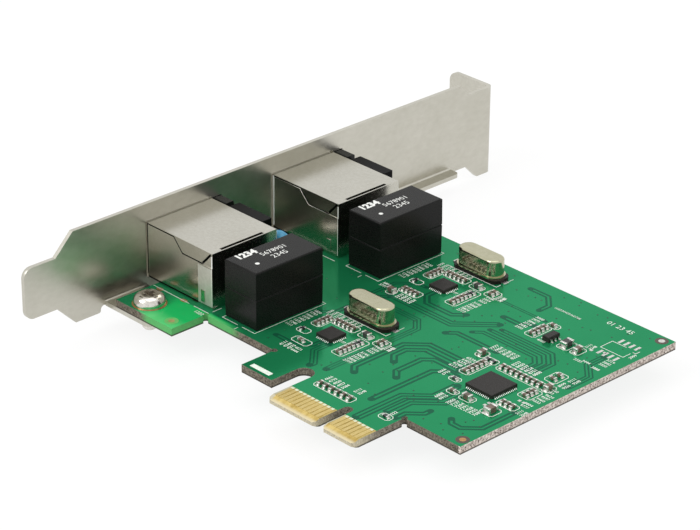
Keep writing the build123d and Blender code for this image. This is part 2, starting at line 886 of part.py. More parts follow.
# Voltage regulator in a small moulded package with three bent leads on each long side
regulator_x = from_face(regulator_from_face)
with BuildPart() as voltage_regulator:
    with BuildSketch(Plane.XY.offset(top_z + regulator_lift)):
        with Locations((regulator_x, regulator_y)):
            Rectangle(regulator_w, regulator_len)
    extrude(amount=regulator_h - regulator_lift)
    chamfer(voltage_regulator.edges().group_by(Axis.Z)[-1], regulator_edge)
save(voltage_regulator, "voltage_regulator")

with BuildPart() as regulator_leads:
    for side in (-1, 1):
        body_x = regulator_x + side * regulator_w / 2
        knee_x = body_x + side * regulator_lead_out / 2
        toe_x = body_x + side * regulator_lead_out
        for step in (-1, 0, 1):
            lead_y = regulator_y + step * regulator_pitch
            with BuildSketch(Plane.XZ.offset(-(lead_y + regulator_lead_w / 2))):
                with BuildLine():
                    Polyline(
                        (body_x, top_z + regulator_lead_z),
                        (knee_x, top_z + regulator_lead_z),
                        (knee_x, top_z + regulator_lead_t),
                        (toe_x, top_z + regulator_lead_t),
                        (toe_x, top_z),
                        (knee_x - side * regulator_lead_t, top_z),
                        (knee_x - side * regulator_lead_t, top_z + regulator_lead_z - regulator_lead_t),
                        (body_x, top_z + regulator_lead_z - regulator_lead_t),
                        close=True,
                    )
                make_face()
            extrude(amount=regulator_lead_w)
save(regulator_leads, "regulator_leads")


def row(start, step, count, turned):
    """Places of evenly spaced chips, in grid steps. A turned chip lies along Y."""
    return [((start[0] + n * step[0], start[1] + n * step[1]), turned) for n in range(count)]


def placed(places, origin=(0, 0)):
    """Places in grid steps from an origin, as distances from the bracket's face and the contact edge."""
    return [((origin[0] + grid * spot[0], origin[1] + grid * spot[1]), turned) for spot, turned in places]


# Around each controller, measured from the controller's middle
port_capacitors = (
    row((-5.2, 1.25), (0, 1.02), 4, False)
    + row((-3.4, 4.6), (1.08, 0), 5, True)
    + row((5.4, -3.35), (0, 1.06), 4, False)
    + [((8.1, 4.1), False), ((8.1, 5.2), False)]
)
port_resistors = row((5.4, 0.9), (0, 1.06), 2, False) + [((-5.4, -2.0), True)]
port_ferrite = [((4.4, 4.5), False)]
# Around the switch chip, measured from its middle
switch_capacitors = (
    row((-6.8, 0.6), (0, 1.13), 5, False)
    + row((-3.5, 6.45), (1.27, 0), 8, True)
    + row((6.3, 1.8), (0, 1.08), 3, False)
    + row((5.3, -2.7), (1.15, 0), 3, True)
    + [((5.5, 9.7), False), ((5.5, 11.4), False), ((-3.35, -6.1), False)]
)
switch_resistors = [((-7.2, 6.5), True), ((-5.8, 6.5), True), ((-6.2, -2.7), False)]
switch_medium = [((-9.3, 7.3), True), ((0.1, -6.0), False), ((7.3, 6.6), True)]
switch_large = [((5.9, -6.3), True)]
# Around the voltage regulator, measured from its middle
regulator_capacitors = row((-3.65, -1.1), (0, 1.15), 4, False) + [((-3.05, 3.9), False)]
regulator_medium = [((6.35, 0.1), True)]
regulator_inductor = [((3.55, 0.3), True)]
# On their own: the second port's filter row, one chip in the same place at the first port, and the row of
# coupling capacitors behind the contact edge
lone_capacitors = (
    row((36.0, 45.5), (1.05, 0), 4, True) + [((38.0, 17.8), False)] + row((51.9, 9.6), (1.47, 0), 6, True)
)
lone_resistors = [((67.8, 9.9), False)]
lone_medium = [((35.0, 43.1), False)]

regulator_spot = (regulator_from_face, regulator_y)
capacitors = placed(switch_capacitors, switch_spot) + placed(regulator_capacitors, regulator_spot)
capacitors += placed(lone_capacitors)
resistors = placed(switch_resistors, switch_spot) + placed(lone_resistors)
medium_capacitors = placed(switch_medium, switch_spot) + placed(regulator_medium, regulator_spot)
medium_capacitors += placed(lone_medium)
large_capacitors = placed(switch_large, switch_spot)
power_inductors = placed(regulator_inductor, regulator_spot)
ferrites = []
for y in controller_ys:
    capacitors += placed(port_capacitors, (controller_x, y))
    resistors += placed(port_resistors, (controller_x, y))
    ferrites += placed(port_ferrite, (controller_x, y))


def chip_bodies(spots, size):
    length, width, height, end = size
    with BuildSketch(Plane.XY.offset(top_z)) as bodies:
        for spot, turned in spots:
            with Locations(Location((*at(spot), 0), (0, 0, 90 if turned else 0))):
                Rectangle(length - 2 * end, width)
    extrude(bodies.sketch, amount=height)


def chip_ends(spots, size):
    length, width, height, end = size
    with BuildSketch(Plane.XY.offset(top_z)) as ends:
        for spot, turned in spots:
            with Locations(Location((*at(spot), 0), (0, 0, 90 if turned else 0))):
                with GridLocations(length - end, 0, 2, 1):
                    Rectangle(end, width + 2 * end_proud)
    extrude(ends.sketch, amount=height + end_proud)


with BuildPart() as chip_capacitors:
    chip_bodies(capacitors, small_chip)
    chip_bodies(medium_capacitors, medium_chip)
    chip_bodies(large_capacitors, large_chip)
save(chip_capacitors, "chip_capacitors")

with BuildPart() as chip_resistors:
    chip_bodies(resistors, thin_chip)
save(chip_resistors, "chip_resistors")

with BuildPart() as ferrite_beads:
    chip_bodies(ferrites, medium_chip)
save(ferrite_beads, "ferrite_beads")

with BuildPart() as power_inductor:
    chip_bodies(power_inductors, large_chip)
save(power_inductor, "power_inductor")

with BuildPart() as chip_terminals:
    chip_ends(capacitors, small_chip)
    chip_ends(resistors, thin_chip)
    chip_ends(medium_capacitors + ferrites, medium_chip)
    chip_ends(large_capacitors + power_inductors, large_chip)
save(chip_terminals, "chip_terminals")


# Solder joints under the board, one for each lead that passes through it
with BuildPart() as solder_joints:
    joint_spots = [(spot, joint_r) for spot in disc_lead_spots()]
    for jack_left, light_mid in zip(jack_lefts, light_mids):
        joint_spots += [(spot, joint_r) for spot in light_lead_spots(light_mid)]
        joint_spots += [(spot, pin_joint_r) for spot in pin_spots(jack_left)]
        joint_spots += [(spot, leg_joint_r) for spot in leg_spots(jack_left)]
    with BuildSketch(Plane.XY.offset(under_z)):
        for spot, foot_r in joint_spots:
            with Locations(at(spot)):
                RegularPolygon(foot_r, 8)
    extrude(amount=-joint_h, taper=joint_slope)
save(solder_joints, "solder_joints")
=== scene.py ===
import math
import random
import bmesh
import bpy
from mathutils import Matrix, Vector


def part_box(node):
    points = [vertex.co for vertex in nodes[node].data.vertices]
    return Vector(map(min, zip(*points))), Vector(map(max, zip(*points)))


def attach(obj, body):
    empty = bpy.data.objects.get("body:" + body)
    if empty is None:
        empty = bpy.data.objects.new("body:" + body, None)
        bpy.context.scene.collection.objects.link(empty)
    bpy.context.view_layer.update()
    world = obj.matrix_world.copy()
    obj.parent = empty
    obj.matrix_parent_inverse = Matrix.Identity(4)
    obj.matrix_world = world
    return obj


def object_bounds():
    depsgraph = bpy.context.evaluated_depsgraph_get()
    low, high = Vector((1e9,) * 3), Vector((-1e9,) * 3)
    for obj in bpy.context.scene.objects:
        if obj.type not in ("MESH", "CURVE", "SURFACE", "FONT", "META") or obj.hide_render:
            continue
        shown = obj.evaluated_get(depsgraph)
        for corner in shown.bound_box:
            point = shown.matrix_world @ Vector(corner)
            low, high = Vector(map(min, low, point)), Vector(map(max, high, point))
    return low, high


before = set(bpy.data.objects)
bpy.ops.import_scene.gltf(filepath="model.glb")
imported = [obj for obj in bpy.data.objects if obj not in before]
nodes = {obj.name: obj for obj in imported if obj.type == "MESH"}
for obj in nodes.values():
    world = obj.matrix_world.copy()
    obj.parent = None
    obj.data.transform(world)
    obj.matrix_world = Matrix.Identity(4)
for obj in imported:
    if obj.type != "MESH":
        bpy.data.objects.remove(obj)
cad_box = [list(corner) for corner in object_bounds()]

MM = 0.001
FACE = -61.58           # X of the bracket's inner face, in mm
TOP = 0.785             # upper face of the board
UNDER = -0.785          # lower face of the board
BLACK = (0, 0, 0)
WHITE = (1, 1, 1)
FACTOR, COLOR_A, COLOR_B, COLOR_OUT = 0, 6, 7, 2    # a Mix node's sockets, when it mixes colours
random.seed(7)


# Node helpers

def new_material(name):
    mat = bpy.data.materials.new(name)
    mat.use_nodes = True
    tree = mat.node_tree
    shader = tree.nodes["Principled BSDF"]
    return mat, tree, shader


def add(tree, kind, **settings):
    node = tree.nodes.new(kind)
    for key, value in settings.items():
        setattr(node, key, value)
    return node


def link(tree, source, target):
    tree.links.new(source, target)


def group_with(name, inputs, outputs):
    """A node group with its sockets, and its input and output nodes."""
    group = bpy.data.node_groups.new(name, "ShaderNodeTree")
    for label, kind, value in inputs:
        socket = group.interface.new_socket(label, in_out="INPUT", socket_type=kind)
        if value is not None:
            socket.default_value = value
    for label, kind in outputs:
        group.interface.new_socket(label, in_out="OUTPUT", socket_type=kind)
    return group, group.nodes.new("NodeGroupInput"), group.nodes.new("NodeGroupOutput")


def make_speckle():
    """Noise between two colours at a size, with the same noise as height."""
    group, inside, out = group_with(
        "speckle",
        [("Scale", "NodeSocketFloat", 1000.0), ("Stretch", "NodeSocketVector", (1, 1, 1)),
         ("Low", "NodeSocketColor", (0, 0, 0, 1)), ("High", "NodeSocketColor", (1, 1, 1, 1)),
         ("Start", "NodeSocketFloat", 0.35), ("End", "NodeSocketFloat", 0.65)],
        [("Color", "NodeSocketColor"), ("Mask", "NodeSocketFloat")],
    )
    coords = add(group, "ShaderNodeTexCoord")
    stretched = add(group, "ShaderNodeVectorMath", operation="MULTIPLY")
    noise = add(group, "ShaderNodeTexNoise")
    noise.inputs["Detail"].default_value = 4.0
    noise.inputs["Roughness"].default_value = 0.6
    ramp = add(group, "ShaderNodeMapRange")
    mix = add(group, "ShaderNodeMix", data_type="RGBA")
    link(group, coords.outputs["Object"], stretched.inputs[0])
    link(group, inside.outputs["Stretch"], stretched.inputs[1])
    link(group, stretched.outputs[0], noise.inputs["Vector"])
    link(group, inside.outputs["Scale"], noise.inputs["Scale"])
    link(group, noise.outputs["Fac"], ramp.inputs["Value"])
    link(group, inside.outputs["Start"], ramp.inputs["From Min"])
    link(group, inside.outputs["End"], ramp.inputs["From Max"])
    link(group, ramp.outputs["Result"], mix.inputs[FACTOR])
    link(group, inside.outputs["Low"], mix.inputs[COLOR_A])
    link(group, inside.outputs["High"], mix.inputs[COLOR_B])
    link(group, mix.outputs[COLOR_OUT], out.inputs["Color"])
    link(group, ramp.outputs["Result"], out.inputs["Mask"])
    return group


speckle_group = make_speckle()


def speckle(tree, scale, low, high, stretch=(1, 1, 1), start=0.35, end=0.65):
    node = add(tree, "ShaderNodeGroup", node_tree=speckle_group)
    node.inputs["Scale"].default_value = scale
    node.inputs["Stretch"].default_value = stretch
    node.inputs["Low"].default_value = (*low, 1)
    node.inputs["High"].default_value = (*high, 1)
    node.inputs["Start"].default_value = start
    node.inputs["End"].default_value = end
    return node


def bump(tree, shader, height, strength, depth):
    """Relief from a height mask, at most as deep as the depth in mm."""
    node = add(tree, "ShaderNodeBump")
    node.inputs["Strength"].default_value = strength
    node.inputs["Distance"].default_value = depth * MM
    link(tree, height, node.inputs["Height"])
    link(tree, node.outputs["Normal"], shader.inputs["Normal"])


def scaled(tree, mask, low, high):
    """A mask spread from low, where it is 0, to high, where it is 1."""
    node = add(tree, "ShaderNodeMapRange")
    node.inputs["To Min"].default_value = low
    node.inputs["To Max"].default_value = high
    link(tree, mask, node.inputs["Value"])
    return node.outputs["Result"]


def rough_from(tree, shader, mask, low, high):
    link(tree, scaled(tree, mask, low, high), shader.inputs["Roughness"])


def mixed(tree, mask, first, second):
    """The first colour where the mask is 0, and the second where it is 1."""
    node = add(tree, "ShaderNodeMix", data_type="RGBA")
    link(tree, mask, node.inputs[FACTOR])
    for source, socket in ((first, node.inputs[COLOR_A]), (second, node.inputs[COLOR_B])):
        if isinstance(source, tuple):
            socket.default_value = (*source, 1)
        else:
            link(tree, source, socket)
    return node.outputs[COLOR_OUT]


def multiplied(tree, first, second):
    """One colour times another."""
    node = add(tree, "ShaderNodeMix", data_type="RGBA", blend_type="MULTIPLY")
    node.inputs[FACTOR].default_value = 1.0
    link(tree, first, node.inputs[COLOR_A])
    link(tree, second, node.inputs[COLOR_B])
    return node.outputs[COLOR_OUT]


def metal(name, low, high, scale, rough, height, stretch=(1, 1, 1), metallic=1.0):
    """Plated metal with fine grain and slow, cloudy changes of tone."""
    mat, tree, shader = new_material(name)
    shader.inputs["Metallic"].default_value = metallic
    grain = speckle(tree, scale, low, high, stretch, 0.3, 0.7)
    cloud = speckle(tree, 110.0, (0.94, 0.94, 0.93), WHITE)
    tone = multiplied(tree, grain.outputs["Color"], cloud.outputs["Color"])
    link(tree, tone, shader.inputs["Base Color"])
    rough_from(tree, shader, grain.outputs["Mask"], *rough)
    bump(tree, shader, grain.outputs["Mask"], height, 0.02)
    return mat


def plastic(name, low, high, scale, rough, height, coat=0.0, shine=0.5):
    """Moulding, coating, ceramic or ink with a fine grain."""
    mat, tree, shader = new_material(name)
    grain = speckle(tree, scale, low, high)
    link(tree, grain.outputs["Color"], shader.inputs["Base Color"])
    rough_from(tree, shader, grain.outputs["Mask"], *rough)
    bump(tree, shader, grain.outputs["Mask"], height, 0.03)
    shader.inputs["Coat Weight"].default_value = coat
    shader.inputs["Coat Roughness"].default_value = 0.15
    shader.inputs["Specular IOR Level"].default_value = shine
    return mat


def math_node(tree, operation, first, second=None):
    node = add(tree, "ShaderNodeMath", operation=operation)
    for source, socket in ((first, node.inputs[0]), (second, node.inputs[1])):
        if isinstance(source, (int, float)):
            socket.default_value = source
        elif source is not None:
            link(tree, source, socket)
    return node.outputs[0]


def bands(tree, vector, axis):
    """Fine threads across one axis, a little uneven."""
    wave = add(tree, "ShaderNodeTexWave", wave_type="BANDS", bands_direction=axis)
    wave.inputs["Scale"].default_value = 620.0
    wave.inputs["Distortion"].default_value = 1.2
    wave.inputs["Detail"].default_value = 1.0
    link(tree, vector, wave.inputs["Vector"])
    return wave.outputs["Fac"]


def soft_step(tree, value, start, end):
    """0 before the start and 1 after the end, both in mm."""
    node = add(tree, "ShaderNodeMapRange", interpolation_type="SMOOTHSTEP")
    node.inputs["From Min"].default_value = start * MM
    node.inputs["From Max"].default_value = end * MM
    link(tree, value, node.inputs["Value"])
    return node.outputs["Result"]


def both(tree, *masks):
    """Where all of these masks meet."""
    result = masks[0]
    for mask in masks[1:]:
        result = math_node(tree, "MULTIPLY", result, mask)
    return result


def flipped(tree, mask):
    return math_node(tree, "SUBTRACT", 1.0, mask)


def soft_end(tree, value, start, end):
    """1 before the start and 0 after the end, both in mm."""
    return flipped(tree, soft_step(tree, value, start, end))


def within(tree, value, middle, reach):
    """1 where the value lies nearer to the middle than the reach, both in mm."""
    offset = math_node(tree, "SUBTRACT", value, middle * MM)
    return math_node(tree, "LESS_THAN", math_node(tree, "ABSOLUTE", offset), reach * MM)


def split(tree, vector):
    """The X, Y and Z of a vector."""
    node = add(tree, "ShaderNodeSeparateXYZ")
    link(tree, vector, node.inputs[0])
    return node.outputs["X"], node.outputs["Y"], node.outputs["Z"]


TONGUE_REACH = 14       # both tongues lie within this of the key notch, along X, in mm


def make_clear_mask():
    """Where the board has no copper and the light comes through: the screw foot, and the rim beside it."""
    group, _, out = group_with(
        "clear_laminate", [], [("Mask", "NodeSocketFloat"), ("Rim", "NodeSocketFloat")],
    )
    coords = add(group, "ShaderNodeTexCoord")
    x, y, _ = split(group, coords.outputs["Object"])
    foot = both(
        group,
        soft_step(group, x, FACE + 7.5, FACE + 12.5),
        soft_end(group, x, FACE + 19.1, FACE + 19.3),
        soft_end(group, y, 12.4, 12.8),
    )
    strip = both(
        group,
        soft_step(group, x, FACE + 18.9, FACE + 19.1),
        soft_end(group, x, FACE + 23, FACE + 30),
        soft_end(group, y, 12.7, 13.3),
    )
    link(group, math_node(group, "MAXIMUM", foot, strip), out.inputs["Mask"])
    strip_rim = both(group, strip, soft_end(group, y, 12.2, 13.0))
    rim = math_node(group, "MAXIMUM", soft_end(group, y, 4.2, 8.0), strip_rim)
    link(group, rim, out.inputs["Rim"])
    return group


def make_cut_edge():
    """The cut edge of a glass-fibre board: pale resin and threads and dark pits, toned by facing as painted
    light and shade, with a darker lower rim of painted shade.
    """
    group, _, out = group_with("cut_edge", [], [("Color", "NodeSocketColor"), ("Height", "NodeSocketFloat")])
    coords = add(group, "ShaderNodeTexCoord")
    x, y, z = split(group, coords.outputs["Object"])
    facing_tail, _, _ = split(group, coords.outputs["Normal"])
    sideways = math_node(group, "GREATER_THAN", facing_tail, 0.5)
    tail = math_node(group, "GREATER_THAN", x, (FACE + 83) * MM)
    fuzz = speckle(group, 2600.0, BLACK, WHITE, (1, 1, 0.8))
    # Painted light and shade: the same resin is darker on the edges that don't face the tail and lighter on
    # those that do; the tail end itself is palest.
    front = mixed(group, fuzz.outputs["Mask"], (0.085, 0.075, 0.058), (0.23, 0.20, 0.16))
    side = mixed(group, fuzz.outputs["Mask"], (0.12, 0.105, 0.082), (0.33, 0.29, 0.24))
    end = mixed(group, fuzz.outputs["Mask"], (0.30, 0.245, 0.215), (0.78, 0.70, 0.64))
    plain = mixed(group, tail, mixed(group, sideways, front, side), end)
    pits = speckle(group, 3200.0, BLACK, WHITE, start=0.54, end=0.62)
    inner = within(group, z, 0.1, 0.45)
    pitted = mixed(group, both(group, pits.outputs["Mask"], inner), plain, (0.05, 0.036, 0.03))
    # The tips of the tongues are free of copper and show the pale resin.
    tip = both(group, within(group, x, 0, TONGUE_REACH), soft_end(group, y, 1.0, 6.5), 0.92)
    cream = mixed(group, fuzz.outputs["Mask"], (0.40, 0.355, 0.25), (0.58, 0.53, 0.40))
    tipped = mixed(group, tip, pitted, cream)
    # From the screw foot to the first jack the mask runs down over the edge.
    from_foot = soft_step(group, x, FACE + 9.8, FACE + 12.5)
    to_jack = soft_end(group, x, FACE + 25.0, FACE + 29.0)
    painted = mixed(group, both(group, from_foot, to_jack, 0.92), tipped, (0.10, 0.42, 0.13))
    # Painted shade: the lower rim of each cut edge is darkened where shade falls under the board.
    below = soft_end(group, z, -0.55, -0.40)
    painted_shade_rimmed = mixed(group, math_node(group, "MULTIPLY", below, 0.85), painted, (0.055, 0.048, 0.042))
    link(group, painted_shade_rimmed, out.inputs["Color"])
    link(group, fuzz.outputs["Mask"], out.inputs["Height"])
    return group


def bare_places(tree, shader, coords, mask_color, metallic, rough):
    """The board's colour with its cut edge, bare tongues and clear foot; the mask's gloss stops at them."""
    cut = add(tree, "ShaderNodeGroup", node_tree=make_cut_edge())
    clear = add(tree, "ShaderNodeGroup", node_tree=make_clear_mask())
    x, y, _ = split(tree, coords.outputs["Object"])
    _, _, facing_up = split(tree, coords.outputs["Normal"])
    upright = math_node(tree, "ABSOLUTE", facing_up)
    flat = math_node(tree, "GREATER_THAN", upright, 0.5)
    level = math_node(tree, "GREATER_THAN", upright, 0.98)
    # The tongues are free of mask: honey-coloured resin between the contacts and on the bevel.
    low_enough = math_node(tree, "LESS_THAN", y, 5.45 * MM)
    tongue = math_node(tree, "MULTIPLY", low_enough, within(tree, x, 0, TONGUE_REACH))
    glaze = speckle(tree, 900.0, (0.40, 0.28, 0.075), (0.60, 0.46, 0.17), (1, 0.4, 1))
    resin = mixed(tree, soft_end(tree, y, 0.15, 0.85), glaze.outputs["Color"], (0.62, 0.54, 0.35))
    # Beside the first contact of each tongue lies a strip of plain laminate.
    outer_strip = math_node(tree, "LESS_THAN", x, -11.92 * MM)
    strips = math_node(tree, "MAXIMUM", outer_strip, within(tree, x, 1.0, 0.2))
    resin = mixed(tree, strips, resin, (0.50, 0.46, 0.34))
    leaf = mixed(tree, clear.outputs["Rim"], (0.006, 0.37, 0.088), (0.085, 0.50, 0.155))
    masked = mixed(tree, clear.outputs["Mask"], mask_color, leaf)
    top_color = mixed(tree, level, resin, mixed(tree, tongue, masked, resin))
    height = math_node(tree, "MULTIPLY", flipped(tree, flat), cut.outputs["Height"])
    bump(tree, shader, height, 0.4, 0.1)
    over_copper = both(tree, level, metallic, flipped(tree, clear.outputs["Mask"]))
    link(tree, over_copper, shader.inputs["Metallic"])
    rough_from(tree, shader, level, 0.7, rough)
    return mixed(tree, flat, cut.outputs["Color"], top_color)


def make_board_material(name, low, high, metallic, rough, edge=True):
    """Glossy green solder mask over copper, with the weave of the glass cloth faintly in it."""
    mat, tree, shader = new_material(name)
    coords = add(tree, "ShaderNodeTexCoord")
    cloud = speckle(tree, 30.0, low, high, start=0.3, end=0.7)
    weave = both(tree, *(bands(tree, coords.outputs["Object"], axis) for axis in "XY"))
    surface = multiplied(tree, cloud.outputs["Color"], scaled(tree, weave, 0.95, 1.0))
    shader.inputs["Coat Weight"].default_value = 0.04
    shader.inputs["Coat Roughness"].default_value = 0.06
    shader.inputs["Specular IOR Level"].default_value = 0.06
    shader.inputs["Specular Tint"].default_value = (0.6, 1.0, 0.85, 1)
    if edge:
        surface = bare_places(tree, shader, coords, surface, metallic, rough)
    else:
        shader.inputs["Metallic"].default_value = metallic
        rough_from(tree, shader, cloud.outputs["Mask"], rough, rough + 0.05)
    link(tree, surface, shader.inputs["Base Color"])
    return mat


# Finishes: two tones, size of the grain, roughness and height of the grain

mask_green = make_board_material("mask_green", (0.012, 0.235, 0.088), (0.018, 0.270, 0.104), 0.50, 0.17)
mask_dark = make_board_material(
    "mask_dark", (0.006, 0.092, 0.046), (0.010, 0.106, 0.054), 0.35, 0.18, edge=False)
steel = metal(
    "plated_steel", (0.54, 0.522, 0.455), (0.595, 0.577, 0.51), 1100.0, (0.30, 0.36), 0.04, (1, 0.5, 1))
shield = metal("shield_steel", (0.515, 0.50, 0.44), (0.57, 0.555, 0.495), 1500.0, (0.20, 0.26), 0.03)
fold_metal = metal(
    "folded_steel", (0.50, 0.49, 0.44), (0.60, 0.59, 0.54), 1500.0, (0.34, 0.42), 0.05, metallic=0.6)
# A near-white, barely metallic steel that paints the highlights on the jacks' edges
painted_highlight_steel = metal(
    "painted_highlight_steel", (0.86, 0.85, 0.82), (0.96, 0.95, 0.92), 1500.0, (0.34, 0.42), 0.05, metallic=0.15)
screw_metal = metal("screw_steel", (0.58, 0.55, 0.50), (0.80, 0.77, 0.72), 1500.0, (0.14, 0.26), 0.15)
can_metal = metal("can_metal", (0.46, 0.445, 0.30), (0.52, 0.505, 0.36), 1300.0, (0.13, 0.19), 0.03)
tinned = metal("tinned_metal", (0.58, 0.575, 0.54), (0.84, 0.835, 0.80), 2600.0, (0.20, 0.40), 0.4)
solder = metal("solder", (0.42, 0.41, 0.37), (0.66, 0.65, 0.60), 2600.0, (0.22, 0.42), 0.4)
bright_solder = metal("bright_solder", (0.72, 0.72, 0.69), (0.94, 0.94, 0.91), 2600.0, (0.25, 0.42), 0.3)
gold = metal(
    "gold_contacts", (0.66, 0.49, 0.16), (0.77, 0.61, 0.265), 1600.0, (0.24, 0.34), 0.1, (1, 0.3, 1))
copper = metal("bare_copper", (0.40, 0.20, 0.075), (0.60, 0.34, 0.15), 2000.0, (0.30, 0.45), 0.2)
black_moulding = plastic(
    "black_moulding", (0.005, 0.005, 0.005), (0.009, 0.009, 0.008), 5200.0, (0.24, 0.34), 0.12, shine=0.13)
dark_moulding = plastic(
    "dark_moulding", (0.002, 0.002, 0.002), (0.004, 0.004, 0.004), 5200.0, (0.3, 0.4), 0.12, shine=0.06)
chip_epoxy = plastic(
    "chip_epoxy", (0.010, 0.009, 0.008), (0.030, 0.027, 0.025), 6000.0, (0.4, 0.55), 0.4, shine=0.2)
crystal_seat = plastic(
    "crystal_seat", (0.006, 0.004, 0.004), (0.016, 0.010, 0.010), 4000.0, (0.3, 0.45), 0.3, shine=0.2)
ferrite = plastic("ferrite", (0.020, 0.020, 0.020), (0.055, 0.052, 0.050), 4200.0, (0.45, 0.65), 0.5)
ceramic = plastic("capacitor_ceramic", (0.075, 0.055, 0.042), (0.17, 0.125, 0.09), 900.0, (0.35, 0.5), 0.3)
resistor_film = plastic(
    "resistor_film", (0.015, 0.015, 0.018), (0.035, 0.035, 0.040), 3200.0, (0.25, 0.4), 0.3)
disc_blue = plastic(
    "disc_coating", (0.02, 0.20, 0.36), (0.035, 0.28, 0.46), 900.0, (0.22, 0.34), 0.3, coat=0.1)
lamp_plastic = plastic(
    "lamp_plastic", (0.006, 0.007, 0.006), (0.012, 0.013, 0.012), 2000.0, (0.2, 0.3), 0.1, shine=0.2)
white_ink = plastic("white_ink", (0.60, 0.70, 0.60), (0.84, 0.89, 0.82), 3000.0, (0.4, 0.6), 0.3)
case_ink = plastic("case_ink", (0.66, 0.67, 0.65), (0.84, 0.85, 0.82), 3000.0, (0.4, 0.6), 0.3)

for pattern, mat in (
    ("circuit_board", mask_green), ("edge_contacts", gold), ("bracket", steel),
    ("bracket_screws", screw_metal), ("jack_shield", shield), ("jack_housing", black_moulding),
    ("jack_contacts", gold),
    ("light_holder", dark_moulding), ("status_light", lamp_plastic), ("light_leads", tinned),
    ("transformer_case", black_moulding), ("transformer_base", black_moulding), ("transformer_leads", tinned),
    ("disc_capacitor", disc_blue), ("disc_capacitor_leads", tinned), ("crystal_base", crystal_seat),
    ("crystal_can", can_metal), ("crystal_leads", tinned), ("lan_controller", chip_epoxy),
    ("switch_chip", chip_epoxy), ("controller_pads", solder), ("switch_chip_pads", tinned),
    ("voltage_regulator", chip_epoxy), ("regulator_leads", tinned), ("chip_capacitors", ceramic),
    ("chip_resistors", resistor_film), ("ferrite_beads", ferrite), ("power_inductor", ferrite),
    ("chip_terminals", tinned), ("solder_joints", tinned),
):
    for name, node in nodes.items():
        if name in [pattern + ending for ending in ("", "_1", "_2", "_top", "_bottom")]:
            node.data.materials.clear()
            node.data.materials.append(mat)


# Mesh helpers: flat marks on the board are thin sheets that lie on it

def add_piece(name, bm, mat, smooth=False):
    mesh_data = bpy.data.meshes.new(name)
    bm.normal_update()
    bm.to_mesh(mesh_data)
    bm.free()
    piece = bpy.data.objects.new(name, mesh_data)
    bpy.context.collection.objects.link(piece)
    piece.data.materials.append(mat)
    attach(piece, "root")
    if smooth:
        for face in mesh_data.polygons:
            face.use_smooth = True


def offset_line(points, distance):
    """The points of a line moved sideways, with mitred corners."""
    moved = []
    for index, point in enumerate(points):
        here = Vector(point)
        before = (here - Vector(points[index - 1])).normalized() if index else None
        after = (Vector(points[index + 1]) - here).normalized() if index + 1 < len(points) else None
        first = before or after
        second = after or before
        normal_a = Vector((-first.y, first.x))
        normal_b = Vector((-second.y, second.x))
        middle = (normal_a + normal_b).normalized()
        moved.append(here + middle * distance / max(middle.dot(normal_a), 0.3))
    return moved


def ribbon(bm, points, width, z, offset=0.0):
    """A flat band along a line, which may run beside the line at an offset."""
    left = offset_line(points, offset + width / 2)
    right = offset_line(points, offset - width / 2)
    rows = [
        (bm.verts.new((a.x * MM, a.y * MM, z * MM)), bm.verts.new((b.x * MM, b.y * MM, z * MM)))
        for a, b in zip(left, right)
    ]
    for first, second in zip(rows, rows[1:]):
        bm.faces.new((first[0], first[1], second[1], second[0]))


def disc(bm, x, y, z, radius, inner=0.0, sides=20, squash=(1.0, 1.0)):
    """A flat disc, or a ring where an inner radius is given."""
    outer = [
        bm.verts.new((
            (x + radius * squash[0] * math.cos(2 * math.pi * k / sides)) * MM,
            (y + radius * squash[1] * math.sin(2 * math.pi * k / sides)) * MM,
            z * MM,
        ))
        for k in range(sides)
    ]
    if not inner:
        bm.faces.new(outer)
        return
    core = [
        bm.verts.new((
            (x + inner * math.cos(2 * math.pi * k / sides)) * MM,
            (y + inner * math.sin(2 * math.pi * k / sides)) * MM,
            z * MM,
        ))
        for k in range(sides)
    ]
    for k in range(sides):
        n = (k + 1) % sides
        bm.faces.new((outer[k], outer[n], core[n], core[k]))


def patch(bm, x0, x1, y0, y1, z):
    """A flat rectangle."""
    corners = ((x0, y0), (x1, y0), (x1, y1), (x0, y1))
    bm.faces.new([bm.verts.new((x * MM, y * MM, z * MM)) for x, y in corners])


def numerals(bm, text, x, y, size, angle, z, weight=0.0):
    """Plain numbers printed flat, centred on a place."""
    curve = bpy.data.curves.new("numerals", "FONT")
    curve.body = text
    curve.size = size * MM
    curve.offset = weight * MM
    curve.align_x = "CENTER"
    curve.align_y = "CENTER"
    curve.resolution_u = 2
    holder = bpy.data.objects.new("numerals", curve)
    bpy.context.collection.objects.link(holder)
    bpy.context.view_layer.update()
    mesh_data = bpy.data.meshes.new_from_object(holder)
    turned = Matrix.Rotation(math.radians(angle), 4, "Z")
    mesh_data.transform(Matrix.Translation((x * MM, y * MM, z * MM)) @ turned)
    bm.from_mesh(mesh_data)
    bpy.data.objects.remove(holder)
    bpy.data.curves.remove(curve)
    bpy.data.meshes.remove(mesh_data)


def face_points(points):
    """Places given from the bracket's inner face, in the part's own frame."""
    return [(x + FACE, y) for x, y in points]


